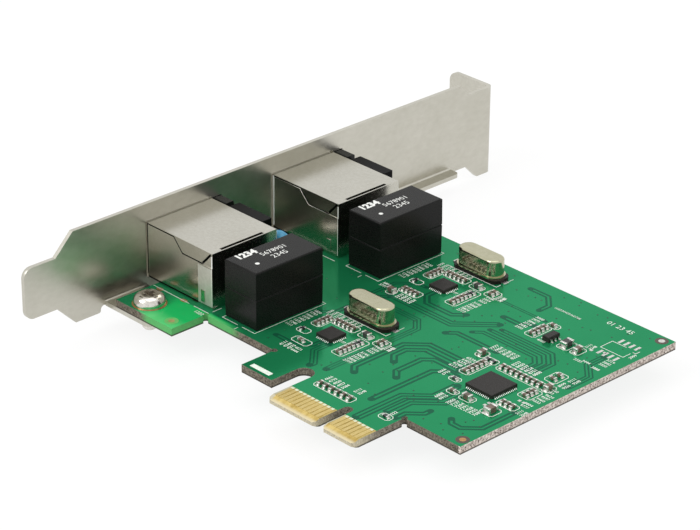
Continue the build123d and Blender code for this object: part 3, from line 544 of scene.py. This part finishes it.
# Copper tracks under the mask. X runs from the bracket's inner face, and Y from the contact edge.
# A track shows as a band between two darker lines. Each entry: number of tracks, pitch, line width, points.
TRACKS = [
    (2, 0.62, 0.26, [(37.5, 38.7), (46.2, 38.7), (48.7, 36.2), (48.7, 14.0)]),
    (1, 0.90, 0.48, [(40.6, 49.4), (40.6, 46.8), (42.7, 44.7), (49.0, 44.7), (50.9, 46.6)]),
    (2, 0.80, 0.36, [(35.5, 42.1), (51.5, 42.1), (57.7, 48.3)]),
    (1, 0.90, 0.48, [(53.2, 38.9), (54.7, 40.4), (64.5, 40.4)]),
    (1, 0.75, 0.34, [(56.2, 42.6), (57.6, 44.0), (70.2, 44.0), (71.9, 42.3), (71.9, 39.4)]),
    (1, 0.75, 0.34, [(57.8, 45.6), (70.9, 45.6), (73.1, 43.4), (73.1, 39.6)]),
    (1, 0.75, 0.34, [(59.3, 47.1), (71.6, 47.1), (74.3, 44.4), (74.3, 40.4)]),
    (1, 0.95, 0.50, [(52.8, 16.8), (51.2, 18.4), (51.2, 30.4), (54.5, 33.7), (64.2, 33.7)]),
    (1, 0.95, 0.46, [(54.8, 24.5), (53.0, 26.3), (53.0, 29.2), (55.5, 31.7), (64.0, 31.7)]),
    (1, 0.95, 0.46, [(59.2, 20.8), (57.4, 22.6), (57.4, 28.7), (59.0, 30.3), (65.0, 30.3)]),
    (1, 0.95, 0.50, [(61.7, 12.4), (61.7, 27.0), (63.5, 28.8), (66.0, 28.8)]),
    (2, 0.85, 0.38, [(64.5, 6.0), (64.5, 17.0), (68.4, 20.9), (68.4, 26.6)]),
    (2, 0.85, 0.38, [(66.9, 11.0), (66.9, 16.6), (71.0, 20.7), (71.0, 26.6)]),
    (1, 0.85, 0.45, [(69.2, 10.8), (69.2, 13.2), (71.5, 15.5), (71.5, 16.9)]),
    (1, 0.85, 0.45, [(75.8, 17.6), (76.9, 16.5), (79.0, 16.5), (81.6, 19.1), (81.6, 27.0)]),
    (2, 0.62, 0.28, [(78.6, 53.0), (78.6, 48.7), (81.7, 45.6), (81.7, 40.0)]),
    (1, 0.55, 0.20, [(50.5, 55.3), (62.4, 55.3)]),
    (1, 0.80, 0.40, [(40.6, 20.6), (40.6, 18.4), (38.4, 16.2), (33.2, 16.2)]),
    (2, 0.62, 0.26, [(42.2, 20.6), (42.2, 17.2), (45.6, 13.8), (45.6, 12.9)]),
    (1, 0.80, 0.40, [(31.6, 27.6), (34.0, 30.0), (34.0, 39.0), (36.5, 41.5)]),
    (1, 0.70, 0.30, [(31.8, 37.0), (33.0, 38.2), (33.0, 46.0), (36.0, 49.0), (38.2, 49.0)]),
    (1, 0.80, 0.40, [(51.6, 62.8), (56.0, 62.8), (58.6, 60.2), (58.6, 57.6)]),
    (1, 0.90, 0.46, [(56.0, 51.0), (60.0, 51.0), (61.5, 52.5), (62.4, 52.5)]),
]
UNDER_TRACKS = [
    (2, 0.62, 0.26, [(52.0, 6.2), (52.0, 20.0), (46.0, 26.0), (46.0, 40.0)]),
    (2, 0.62, 0.26, [(56.0, 6.2), (56.0, 24.0), (60.0, 28.0), (68.0, 28.0)]),
    (2, 0.62, 0.26, [(64.0, 6.2), (64.0, 14.0), (70.0, 20.0), (70.0, 34.0)]),
    (1, 0.90, 0.46, [(20.0, 22.0), (34.0, 22.0), (40.0, 28.0), (40.0, 36.0)]),
    (1, 0.90, 0.46, [(20.0, 54.0), (36.0, 54.0), (42.0, 48.0), (58.0, 48.0), (64.0, 42.0)]),
    (1, 0.90, 0.46, [(66.0, 56.0), (76.0, 56.0), (80.0, 52.0), (80.0, 30.0)]),
    (1, 0.90, 0.46, [(24.0, 60.0), (48.0, 60.0), (54.0, 54.0)]),
]
MARK = 0.009            # height of each layer of marks above the board
RING_Z = TOP + MARK
BARE_Z = TOP + 2 * MARK
INK_Z = TOP + 3 * MARK
TRACK_LOW = 0.003       # height of the first track
TRACK_STEP = 0.0005     # and the step from one to the next
TRACK_END = 0.7         # greatest radius of a track's round end

for label, tracks, face_z, side in (
    ("tracks_top", TRACKS, TOP, 1), ("tracks_under", UNDER_TRACKS, UNDER, -1),
):
    bm = bmesh.new()
    for index, (count, pitch, width, points) in enumerate(tracks):
        z = face_z + side * (TRACK_LOW + index * TRACK_STEP)
        end_radius = min(width * 0.5 + pitch * count / 2, TRACK_END)
        for k in range(count + 1):
            ribbon(bm, face_points(points), width, z, (k - count / 2) * pitch)
        for x, y in (points[0], points[-1]):
            disc(bm, x + FACE, y, z + side * TRACK_STEP / 2, end_radius, sides=16)
    add_piece(label, bm, mask_dark)

# Small filled holes between the layers: scattered at random, but fewer in the crowded places
HOLE_COUNT = 165
HOLE_START = 19         # no hole lies nearer to the bracket
HOLE_SPACING = 1.6      # square of the least distance between two holes
LEFT_OUT = 0.8          # share of the holes that a crowded place turns away
CROWDED = [
    (33, 43.5, 43, 66), (33, 43.5, 14, 37), (62, 80.5, 23, 39), (62.5, 75.5, 49, 56), (17, 32, 13, 62),
    (50, 70, 0, 11),
]
holes = []
while len(holes) < HOLE_COUNT:
    x, y = random.uniform(5, 82.4), random.uniform(13, 65.6)
    crowded = any(x0 < x < x1 and y0 < y < y1 for x0, x1, y0, y1 in CROWDED)
    turned_away = crowded and random.random() < LEFT_OUT
    free = all((x - a) ** 2 + (y - b) ** 2 > HOLE_SPACING for a, b in holes)
    if not turned_away and x > HOLE_START and free:
        holes.append((x, y))
bm = bmesh.new()
for x, y in holes:
    disc(bm, x + FACE, y, BARE_Z, 0.17, sides=10)
    disc(bm, x + FACE, y, UNDER - 2 * MARK, 0.20, sides=10)
via_dark = plastic(
    "via_dark", (0.003, 0.028, 0.015), (0.007, 0.050, 0.026), 3000.0, (0.3, 0.4), 0.2, shine=0.3)
add_piece("filled_holes", bm, via_dark)

# Bare round marks in cleared rings, and the copper round the screw holes
MARK_RADIUS = 0.62
RING_HOLE = 0.6         # inner radius of a cleared ring, just under its mark
SCREW_RING = (3.25, 1.6)        # outer and inner radius of the copper under a screw's head
TAIL_MARK = (82.0 + FACE, 14.0)
FAR_MARK = (81.5 + FACE, 65.0)
FOOT_MARK = (16.6 + FACE, 5.9)
bm = bmesh.new()
disc(bm, *TAIL_MARK, BARE_Z, MARK_RADIUS, sides=24)
for x, y in ((5.5, 12.5), (12.0, 12.7)):
    disc(bm, x + FACE, y, BARE_Z, 0.72, squash=(1.2, 0.7))
for y in (7.5, 36.8):
    disc(bm, 8.5 + FACE, y, BARE_Z, *SCREW_RING, sides=40)
add_piece("copper_marks", bm, copper)

bm = bmesh.new()
for spot in (TAIL_MARK, FAR_MARK):
    disc(bm, *spot, RING_Z, 1.25, RING_HOLE, 24)
clearing = plastic("mark_clearing", (0.040, 0.026, 0.016), (0.060, 0.038, 0.022), 2000.0, (0.3, 0.45), 0.2)
add_piece("mark_clearings", bm, clearing)

bm = bmesh.new()
disc(bm, *FOOT_MARK, RING_Z, 1.3, RING_HOLE, 24)
pale_ring = plastic("pale_ring", (0.09, 0.37, 0.085), (0.12, 0.42, 0.11), 2000.0, (0.3, 0.4), 0.2)
add_piece("mark_ring", bm, pale_ring)
bm = bmesh.new()
disc(bm, *FOOT_MARK, BARE_Z, MARK_RADIUS, sides=24)
olive = plastic("clouded_copper", (0.24, 0.22, 0.075), (0.33, 0.28, 0.11), 2000.0, (0.3, 0.4), 0.2)
add_piece("foot_mark", bm, olive)

# Tinned pads with no part on them: two rows of four, two pairs, six small ones and the far round mark
ROW_PITCH = 1.27
ROW_HALF = 0.8          # half the length of a pad in the rows
PAIR_PITCH = 0.9
SMALL_HALF = 0.3        # half the side of a small pad
bm = bmesh.new()
disc(bm, *FAR_MARK, BARE_Z, MARK_RADIUS, sides=24)
for k in range(4):
    for y in (59.6, 53.9):
        left, right = 76.45 + k * ROW_PITCH + FACE, 77.0 + k * ROW_PITCH + FACE
        patch(bm, left, right, y - ROW_HALF, y + ROW_HALF, BARE_Z)
for y in (51.6, 23.2):
    for k in range(2):
        low, high = y + 3.3 + k * PAIR_PITCH, y + 3.9 + k * PAIR_PITCH
        patch(bm, 50.9 + FACE, 51.6 + FACE, low, high, BARE_Z)
for x, y in ((77.6, 54.2), (75.3, 53.2), (76.3, 25.2), (76.3, 26.2), (79.3, 30.6), (80.3, 30.6)):
    patch(bm, x - SMALL_HALF + FACE, x + SMALL_HALF + FACE, y - SMALL_HALF, y + SMALL_HALF, BARE_Z)
add_piece("bare_pads", bm, tinned)

# White print: outlines, lines and plain numbers
INK = 0.14              # width of a printed line
CORNER = 0.45           # length of an outline's cut corner
FIGURE_SCALE = 1.28     # type size over the height of its figures
FIGURE_WEIGHT = 0.014   # how much the small figures are thickened
PORT_SHIFTS = ((0, 0), (28.35, 30.6))   # along Y from the first port, of its chips and its transformer
TRANSFORMER_END = 31    # lines nearer to the bracket than this are round a transformer
# Two corners of each outline: these round the first port's chips, and again round the second's
PORT_OUTLINES = [
    (34.0, 23.6, 36.4, 28.1), (33.9, 20.1, 36.7, 21.9), (36.4, 26.5, 42.2, 28.8), (43.0, 26.6, 46.1, 28.5),
    (44.4, 18.9, 47.2, 26.2), (47.1, 26.3, 49.9, 29.0),
]
OUTLINES = [
    (36.1, 16.9, 40.2, 18.9), (34.1, 42.1, 36.0, 44.2), (35.2, 44.4, 40.1, 46.7),
    (64.6, 30.4, 67.1, 36.5), (62.2, 36.8, 64.4, 39.2), (64.6, 36.2, 67.6, 38.2), (68.3, 35.8, 79.0, 38.2),
    (79.0, 35.9, 80.9, 38.6), (76.7, 39.2, 79.5, 43.1), (77.4, 31.7, 80.4, 35.5), (76.9, 26.9, 81.2, 29.0),
    (77.0, 22.8, 80.0, 25.8), (71.2, 23.6, 74.3, 25.6), (68.1, 23.7, 70.5, 25.3), (65.2, 27.2, 67.7, 28.7),
    (62.7, 49.0, 65.3, 54.1), (63.3, 54.2, 66.0, 55.8), (69.9, 49.6, 72.5, 53.0), (73.0, 49.7, 75.1, 52.6),
    (66.5, 9.0, 69.1, 10.8), (51.0, 8.5, 60.2, 10.7),
]
PORT_LINES = [
    [(21.7, 30.9), (21.7, 13.6), (25.8, 13.6)], [(27.0, 13.6), (30.4, 13.6), (30.4, 30.9), (21.7, 30.9)],
    [(34.3, 30.2), (46.9, 30.2), (46.9, 31.4)], [(46.9, 33.6), (46.9, 34.8)],
]
LINES = [
    [(3.5, 12.65), (13.6, 12.65)], [(14.9, 12.65), (18.9, 12.65)], [(19.0, 13.6), (19.0, 15.8)],
    [(3.4, 44.0), (18.9, 44.0)], [(78.9, 58.5), (75.6, 58.5), (75.6, 55.3), (80.9, 55.3), (80.9, 57.3)],
    [(80.9, 57.9), (81.6, 57.9), (81.6, 59.0)],
    [(26.6, 42.6), (26.6, 43.6)], [(26.6, 12.0), (26.6, 13.0)],
]
# Stacks of small numbers, one for each chip of a row: first number, place, step, count, turn, height
PORT_STACKS = [
    (11, (31.8, 20.6), (0.03, 1.0), 5, 0, 0.72), (16, (31.8, 25.6), (0.03, 1.0), 3, 0, 0.72),
    (19, (33.4, 29.3), (1.05, 0), 4, 90, 0.72), (23, (37.9, 29.3), (1.05, 0), 4, 90, 0.72),
    (27, (49.1, 18.7), (0.03, 1.0), 5, 0, 0.78), (32, (49.3, 24.1), (0.03, 1.0), 3, 0, 0.72),
    (35, (50.2, 27.3), (1.0, 0), 2, 90, 0.78), (37, (43.1, 22.9), (0, 1), 1, 0, 0.7),
]
STACKS = [
    (41, (36.5, 15.1), (1.0, 0), 3, 90, 0.75), (44, (39.9, 14.5), (0, 1.0), 2, 0, 0.7),
    (46, (51.4, 12.1), (1.05, 0), 5, 90, 0.72), (51, (58.0, 12.8), (1.0, 0), 2, 90, 0.72),
    (53, (37.3, 43.0), (1.05, 0), 4, 90, 0.78), (57, (32.3, 43.6), (0, 1.0), 2, 0, 0.7),
    (61, (62.9, 31.1), (0.1, 1.0), 5, 0, 0.8), (66, (62.8, 28.4), (1.0, 0), 2, 90, 0.72),
    (68, (68.6, 21.9), (1.0, 0), 2, 90, 0.8), (70, (71.5, 21.8), (1.0, 0.05), 7, 90, 0.8),
    (77, (63.0, 41.4), (1.0, 0), 6, 90, 0.8), (83, (69.8, 39.8), (1.0, 0), 6, 90, 0.8),
    (89, (80.5, 40.0), (1.0, 0), 2, 90, 0.72), (91, (80.6, 42.5), (1.0, 0), 2, 90, 0.72),
    (93, (81.5, 32.4), (0.1, 1.0), 4, 0, 0.72), (97, (81.3, 29.7), (0, 1.0), 2, 0, 0.72),
    (21, (82.1, 27.7), (1.0, 0), 2, 90, 0.7), (23, (80.8, 36.5), (0.2, 1.0), 2, 0, 0.7),
    (25, (60.7, 50.1), (0.05, 1.04), 6, 0, 0.72), (31, (74.0, 54.0), (1.0, 0), 2, 90, 0.72),
    (33, (76.3, 48.6), (0, 1.0), 1, 0, 0.72), (34, (77.7, 49.2), (0, 1.0), 1, 0, 0.72),
    (35, (80.5, 50.5), (0, 1.0), 3, 0, 0.72), (38, (80.4, 48.6), (0, 1.0), 1, 0, 0.72),
    (39, (82.0, 56.7), (1.0, 0), 1, 90, 0.72), (40, (66.9, 49.2), (0, 1.0), 1, 0, 0.72),
    (12, (17.6, 11.5), (0, 1.0), 1, 0, 0.9), (42, (67.9, 11.6), (1.0, 0), 1, 90, 0.72),
]
NUMBERS = [("102030405060708", 62.9, 60.5, 0, 0.85), ("01 23 45", 73.2, 63.3, 0, 1.75)]


def outline(bm, box, shift=0):
    """A rectangle's outline with its corners cut."""
    x0, y0, x1, y1 = box[0], box[1] + shift, box[2], box[3] + shift
    c = CORNER
    points = [
        (x0 + c, y0), (x1 - c, y0), (x1, y0 + c), (x1, y1 - c), (x1 - c, y1), (x0 + c, y1), (x0, y1 - c),
        (x0, y0 + c), (x0 + c, y0),
    ]
    ribbon(bm, face_points(points), INK, INK_Z)


def stack(bm, entry, shift=0):
    """A row of four-figure numbers."""
    first, start, step, count, turn, height = entry
    for n in range(count):
        x, y = start[0] + n * step[0] + FACE, start[1] + n * step[1] + shift
        text = f"{first + n}{(first + 3 * n) % 10}{(7 * n + first) % 10}"
        numerals(bm, text, x, y, height * FIGURE_SCALE, turn, INK_Z, FIGURE_WEIGHT)


bm = bmesh.new()
for chip_shift, transformer_shift in PORT_SHIFTS:
    for box in PORT_OUTLINES:
        outline(bm, box, chip_shift)
    for points in PORT_LINES:
        shift = transformer_shift if points[0][0] < TRANSFORMER_END else chip_shift
        ribbon(bm, face_points([(x, y + shift) for x, y in points]), INK, INK_Z)
    for entry in PORT_STACKS:
        stack(bm, entry, chip_shift)
for box in OUTLINES:
    outline(bm, box)
for points in LINES:
    ribbon(bm, face_points(points), INK, INK_Z)
for entry in STACKS:
    stack(bm, entry)
for text, x, y, angle, size in NUMBERS:
    numerals(bm, text, x + FACE, y, size, angle, INK_Z)
# A plain printed bar near the contact edge
patch(bm, 38.7 + FACE, 43.7 + FACE, 5.0, 6.1, INK_Z)
add_piece("white_print", bm, white_ink)

# Plain numbers and a dot on the transformers
TRANSFORMER_ROWS = (14.3, 44.9)         # Y from which each transformer's print is placed
CASE_INK_RISE = 0.01    # how far the print lies above the case
bm = bmesh.new()
case_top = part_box("transformer_case_1")[1][2] / MM + CASE_INK_RISE
for y in TRANSFORMER_ROWS:
    disc(bm, 27.0 + FACE, y + 3.1, case_top, 0.42)
    numerals(bm, "1234", 22.95 + FACE, y + 4.0, 2.35, 90, case_top, 0.12)
    numerals(bm, "5678901", 24.85 + FACE, y + 8.9, 1.75, 90, case_top)
    numerals(bm, "2345", 26.75 + FACE, y + 8.7, 1.85, 90, case_top)
add_piece("case_print", bm, case_ink)


# Solder that rises from the board to the metal ends of the chips
def islands(node):
    """The boxes of a node's separate solids, in mm."""
    bm = bmesh.new()
    bm.from_mesh(node.data)
    bmesh.ops.remove_doubles(bm, verts=bm.verts, dist=1e-6)
    seen, boxes = set(), []
    for start in bm.verts:
        if start.index in seen:
            continue
        waiting, members = [start], []
        seen.add(start.index)
        while waiting:
            vert = waiting.pop()
            members.append(vert.co / MM)
            for edge in vert.link_edges:
                other = edge.other_vert(vert)
                if other.index not in seen:
                    seen.add(other.index)
                    waiting.append(other)
        low = Vector([min(m[k] for m in members) for k in range(3)])
        high = Vector([max(m[k] for m in members) for k in range(3)])
        boxes.append((low, high))
    bm.free()
    return boxes


def gathered(*names):
    """The boxes of all the separate solids in these nodes."""
    return [box for name in names for box in islands(nodes[name])]


def outward(low, high, bodies):
    """Along X or Y, away from the nearest body."""
    middle = (low + high) / 2
    near = min(bodies, key=lambda box: ((box[0] + box[1]) / 2 - middle).xy.length)
    away = (middle - (near[0] + near[1]) / 2).xy
    if abs(away.x) > abs(away.y):
        return Vector((math.copysign(1, away.x), 0, 0))
    return Vector((0, math.copysign(1, away.y), 0))


SOLDER_REACH = 0.26     # how far a fillet runs out over the board
WEDGE_STEPS = 5
HOLLOW = 1.9            # how hollow the slope is: 1 is straight
TOE = 0.015             # height left at the end of the slope
WIDE, NARROW = 1.12, 0.94       # widths at the foot and at the crest


def solder_wedge(bm, low, high, direction, rise, spread):
    """A concave fillet of solder in front of one end face, with sloping flanks."""
    sideways = Vector((-direction.y, direction.x, 0))
    middle = (low + high) / 2
    half = spread * abs((high - low).dot(sideways)) / 2
    front = abs((high - low).dot(direction)) / 2
    rows = []
    for k in range(WEDGE_STEPS + 1):
        t = k / WEDGE_STEPS
        height = rise * (1 - t) ** HOLLOW + TOE
        width = half * (1.04 + 0.06 * t)
        base = middle + direction * (front + SOLDER_REACH * t)
        row = []
        for side, z, share in ((-1, 0, WIDE), (-1, height, NARROW), (1, height, NARROW), (1, 0, WIDE)):
            place = Vector((base + sideways * width * side * share).xy.to_3d()) * MM
            row.append(bm.verts.new(place + Vector((0, 0, (TOP + z) * MM))))
        rows.append(row)
    for a, b in zip(rows, rows[1:]):
        for k in range(3):
            bm.faces.new((a[k], a[k + 1], b[k + 1], b[k]))
    bm.faces.new(rows[-1])


bm = bmesh.new()
bodies = gathered("chip_capacitors", "chip_resistors", "ferrite_beads", "power_inductor")
for low, high in gathered("chip_terminals"):
    solder_wedge(bm, low, high, outward(low, high, bodies), (high.z - low.z) * 0.6, 0.94)
add_piece("chip_solder", bm, solder, smooth=True)
bm = bmesh.new()
bodies = gathered("switch_chip", "lan_controller_1", "lan_controller_2")
for low, high in gathered("controller_pads", "switch_chip_pads"):
    solder_wedge(bm, low, high, outward(low, high, bodies), 0.16, 0.62)
add_piece("pad_solder", bm, bright_solder, smooth=True)

# Pale bare ends of the gold contacts
END_LENGTH = 0.42       # of the contact's own length
END_OVER = 0.12         # how far the bare end runs on past the gold
END_RISE = 0.004        # how far it lies off the contact
bm = bmesh.new()
for low, high in gathered("edge_contacts_top"):
    patch(bm, low.x, high.x, high.y - END_LENGTH, high.y + END_OVER, high.z + END_RISE)
for low, high in gathered("edge_contacts_bottom"):
    patch(bm, low.x, high.x, high.y - END_LENGTH, high.y + END_OVER, low.z - END_RISE)
pale_ends = plastic("contact_ends", (0.50, 0.56, 0.38), (0.74, 0.76, 0.58), 2600.0, (0.3, 0.45), 0.2)
add_piece("contact_ends", bm, pale_ends)

# The jacks' side walls. Places on them run from the bracket's face and from the top of the board.
JACK_MIDDLES = (21.985, 53.135)
JACK_HALF = 7.765
WALLS = [(y + side * JACK_HALF, side) for y in JACK_MIDDLES for side in (-1, 1)]
SEAM = [(0.25, 10.94), (7.7, 10.94), (10.1, 8.39), (15.6, 8.39)]
FRONT_GAP_SHADE = [(0.22, 0.7), (0.22, 10.9)]
FOOT_GAP_SHADE = [(0.3, 0.18), (14.3, 0.18)]
FRONT_EDGE = [(0.3, 0.7), (0.3, 11.0)]
REAR_EDGE = [(18.27, 0.5), (18.27, 10.6)]
FOLD_CORNERS = [(14.5, 0.4), (18.3, 0.4), (18.3, 8.0), (14.5, 8.0)]
LIP_DROP = 0.16         # of the rolled lip below the seam
FOLD = 0.12             # thickness of the strips folded round the rear corners
CLEAR = 0.012           # how far the thin trim stands off the wall
REAR_SUNK = 0.1         # how far the rear edges are sunk into the folded strips


def lifted(points, drop=0):
    return [(x + FACE, TOP + z - drop) for x, z in points]


def wall_ribbon(bm, points, width, y):
    """A ribbon on an upright wall, from places along X and Z."""
    first = offset_line(points, width / 2)
    second = offset_line(points, -width / 2)
    rows = [
        (bm.verts.new((a.x * MM, y * MM, a.y * MM)), bm.verts.new((b.x * MM, y * MM, b.y * MM)))
        for a, b in zip(first, second)
    ]
    for a, b in zip(rows, rows[1:]):
        bm.faces.new((a[0], a[1], b[1], b[0]))


def wall_bead(bm, points, radius, y, sides=10):
    """A thin round lip along a line on an upright wall."""
    rings = []
    for k in range(sides):
        angle = 2 * math.pi * k / sides
        line = offset_line(points, radius * math.cos(angle))
        rings.append([bm.verts.new((v.x * MM, (y + radius * math.sin(angle)) * MM, v.y * MM)) for v in line])
    for k in range(sides):
        a, b = rings[k], rings[(k + 1) % sides]
        for n in range(len(points) - 1):
            bm.faces.new((a[n], a[n + 1], b[n + 1], b[n]))
    for n in (0, -1):
        bm.faces.new([ring[n] for ring in rings])


# Painted shadow: dark sheets on the walls where shade falls in the seam, at the first jack's front corner and
# along the foot of the walls
bm = bmesh.new()
for y, side in WALLS:
    wall_ribbon(bm, lifted(SEAM), 0.24, y + side * CLEAR)
wall_ribbon(bm, lifted(FRONT_GAP_SHADE), 0.2, WALLS[0][0] - CLEAR)
for y, side in WALLS:
    wall_ribbon(bm, lifted(FOOT_GAP_SHADE), 0.34, y + side * CLEAR)
gap_shade_paint = plastic(
    "seam_shadow", (0.004, 0.004, 0.003), (0.008, 0.008, 0.007), 3000.0, (0.5, 0.6), 0.1, shine=0.05)
add_piece("painted_gap_shade", bm, gap_shade_paint)

# The rolled lip below the seam shows on the second jack only.
bm = bmesh.new()
for y, _ in WALLS[2:]:
    wall_bead(bm, lifted(SEAM, LIP_DROP), 0.05, y)
bmesh.ops.recalc_face_normals(bm, faces=bm.faces)
add_piece("seam_lips", bm, shield, smooth=True)

# Painted highlights: near-white, barely metallic beads along the front corner of the second jack and the rear
# corners of both
bm = bmesh.new()
wall_bead(bm, lifted(FRONT_EDGE), 0.18, WALLS[2][0])
for y, side in WALLS:
    wall_bead(bm, lifted(REAR_EDGE), 0.12, y + side * (FOLD - REAR_SUNK))
bmesh.ops.recalc_face_normals(bm, faces=bm.faces)
add_piece("painted_highlight_beads", bm, painted_highlight_steel)

# The dull finish of the folded strips at the rear of the first jack's walls
bm = bmesh.new()
for y, side in WALLS[:2]:
    lie = (y + side * (FOLD + CLEAR)) * MM
    corners = lifted(FOLD_CORNERS if side < 0 else FOLD_CORNERS[::-1])
    bm.faces.new([bm.verts.new((x * MM, lie, z * MM)) for x, z in corners])
add_piece("wall_strips", bm, fold_metal)

# Fine rounded edges on the folded and moulded parts, in mm
ROUNDED = {
    "bracket": 0.08, "jack_shield_1": 0.05, "jack_shield_2": 0.05, "transformer_case_1": 0.05,
    "transformer_case_2": 0.05, "transformer_base_1": 0.05, "transformer_base_2": 0.05,
    "light_holder_1": 0.08, "light_holder_2": 0.08, "chip_terminals": 0.05, "chip_capacitors": 0.03,
}
for label, width in ROUNDED.items():
    node = nodes[label]
    weld = node.modifiers.new("weld", "WELD")
    weld.merge_threshold = 1e-6
    flatten = node.modifiers.new("flatten", "DECIMATE")
    flatten.decimate_type = "DISSOLVE"
    flatten.angle_limit = math.radians(0.5)
    rounded = node.modifiers.new("rounded", "BEVEL")
    rounded.width = width * MM
    rounded.segments = 2
    rounded.limit_method = "ANGLE"
    rounded.angle_limit = math.radians(40)
    rounded.use_clamp_overlap = True
    node.modifiers.new("weighted", "WEIGHTED_NORMAL")

# Camera, at the photograph's place
PHOTO_WIDTH = 700.0     # pixels
FOCAL_LENGTH = 2806.6   # in the same pixels
SENSOR_WIDTH = 36.0
CAMERA_PLACE = (362.222, -279.604, 234.171)     # from the bracket's face, the contact edge and the top
yaw, pitch, roll = math.radians(-46.348), math.radians(26.470), math.radians(0.479)
forward = Vector((math.sin(yaw) * math.cos(pitch), math.cos(yaw) * math.cos(pitch), -math.sin(pitch)))
level = Vector((math.cos(yaw), -math.sin(yaw), 0))
upward = level.cross(forward)
right = math.cos(roll) * level + math.sin(roll) * upward
above = -math.sin(roll) * level + math.cos(roll) * upward
camera_data = bpy.data.cameras.new("camera")
camera_data.sensor_width = SENSOR_WIDTH
camera_data.lens = FOCAL_LENGTH * SENSOR_WIDTH / PHOTO_WIDTH
camera_data.clip_end = 20.0
camera = bpy.data.objects.new("camera", camera_data)
bpy.context.collection.objects.link(camera)
place_x, place_y, place_z = CAMERA_PLACE
spot = Vector(((place_x + FACE) * MM, place_y * MM, (place_z + TOP) * MM))
turn = Matrix((right, above, -forward)).transposed().to_4x4()
camera.matrix_world = Matrix.Translation(spot) @ turn
bpy.context.scene.camera = camera

# Floor: the camera and mirroring metal see it nearly white, and it keeps the card's shadow
FLOOR_HALF = 4.0        # metres
FLOOR_GAP = 0.00002     # metres below the card
WHITE_SHARE = 0.86      # share of plain white over the lit floor
bm = bmesh.new()
bmesh.ops.create_grid(bm, x_segments=2, y_segments=2, size=FLOOR_HALF)
floor_mesh = bpy.data.meshes.new("floor")
bm.to_mesh(floor_mesh)
bm.free()
floor = bpy.data.objects.new("floor", floor_mesh)
floor.location = (0, 0, cad_box[0][2] - FLOOR_GAP)
bpy.context.collection.objects.link(floor)
floor_mat, floor_tree, floor_shader = new_material("floor")
floor_shader.inputs["Base Color"].default_value = (0.93, 0.93, 0.93, 1)
floor_shader.inputs["Roughness"].default_value = 0.9
floor_shader.inputs["Specular IOR Level"].default_value = 0.1
floor_path = add(floor_tree, "ShaderNodeLightPath")
plain = add(floor_tree, "ShaderNodeEmission")
plain.inputs["Color"].default_value = (1, 1, 1, 1)
plain.inputs["Strength"].default_value = 1.0
# The floor under the board lies in its shadow, so metal doesn't mirror a bright floor there.
floor_coords = add(floor_tree, "ShaderNodeTexCoord")
floor_x, floor_y, _ = split(floor_tree, floor_coords.outputs["Object"])
under_board = both(
    floor_tree,
    soft_step(floor_tree, floor_x, FACE, FACE + 4),
    soft_end(floor_tree, floor_x, FACE + 78, FACE + 84),
    soft_step(floor_tree, floor_y, 10, 15),
    soft_end(floor_tree, floor_y, 62, 68),
)
open_floor = flipped(floor_tree, both(floor_tree, under_board, 0.9))
mirrored = both(floor_tree, floor_path.outputs["Is Glossy Ray"], open_floor)
shown = math_node(floor_tree, "MAXIMUM", floor_path.outputs["Is Camera Ray"], mirrored)
shown = math_node(floor_tree, "MAXIMUM", shown, floor_path.outputs["Is Transmission Ray"])
floor_mix = add(floor_tree, "ShaderNodeMixShader")
link(floor_tree, math_node(floor_tree, "MULTIPLY", shown, WHITE_SHARE), floor_mix.inputs[0])
link(floor_tree, floor_shader.outputs[0], floor_mix.inputs[1])
link(floor_tree, plain.outputs[0], floor_mix.inputs[2])
link(floor_tree, floor_mix.outputs[0], floor_tree.nodes["Material Output"].inputs["Surface"])
floor.data.materials.append(floor_mat)

# Plain studio light: a white surround to see, a slightly softer one to light the card, and two lamps
world = bpy.data.worlds.new("studio")
bpy.context.scene.world = world
world.use_nodes = True
sky = world.node_tree
sky.nodes.clear()
out = add(sky, "ShaderNodeOutputWorld")
seen = add(sky, "ShaderNodeBackground")
seen.inputs["Color"].default_value = (1, 1, 1, 1)
seen.inputs["Strength"].default_value = 1.0
lit = add(sky, "ShaderNodeBackground")
lit.inputs["Color"].default_value = (1.0, 0.995, 0.98, 1)
lit.inputs["Strength"].default_value = 0.9
path = add(sky, "ShaderNodeLightPath")
choose = add(sky, "ShaderNodeMixShader")
shown = math_node(sky, "MAXIMUM", path.outputs["Is Camera Ray"], path.outputs["Is Glossy Ray"])
link(sky, math_node(sky, "MAXIMUM", shown, path.outputs["Is Transmission Ray"]), choose.inputs[0])
link(sky, lit.outputs[0], choose.inputs[1])
link(sky, seen.outputs[0], choose.inputs[2])
link(sky, choose.outputs[0], out.inputs["Surface"])


def area_light(name, place, target, size, power):
    data = bpy.data.lights.new(name, "AREA")
    data.shape = "SQUARE"
    data.size = size
    data.energy = power
    light = bpy.data.objects.new(name, data)
    bpy.context.collection.objects.link(light)
    light.location = place
    direction = Vector(target) - Vector(place)
    light.rotation_euler = direction.to_track_quat("-Z", "Y").to_euler()


CARD_MIDDLE = (0, 0.05, 0)
area_light("key", (-0.35, -0.75, 0.85), CARD_MIDDLE, size=0.6, power=5.0)
area_light("top", (0.0, 0.1, 1.2), CARD_MIDDLE, size=1.0, power=3.0)

bpy.context.scene.view_settings.view_transform = "Standard"
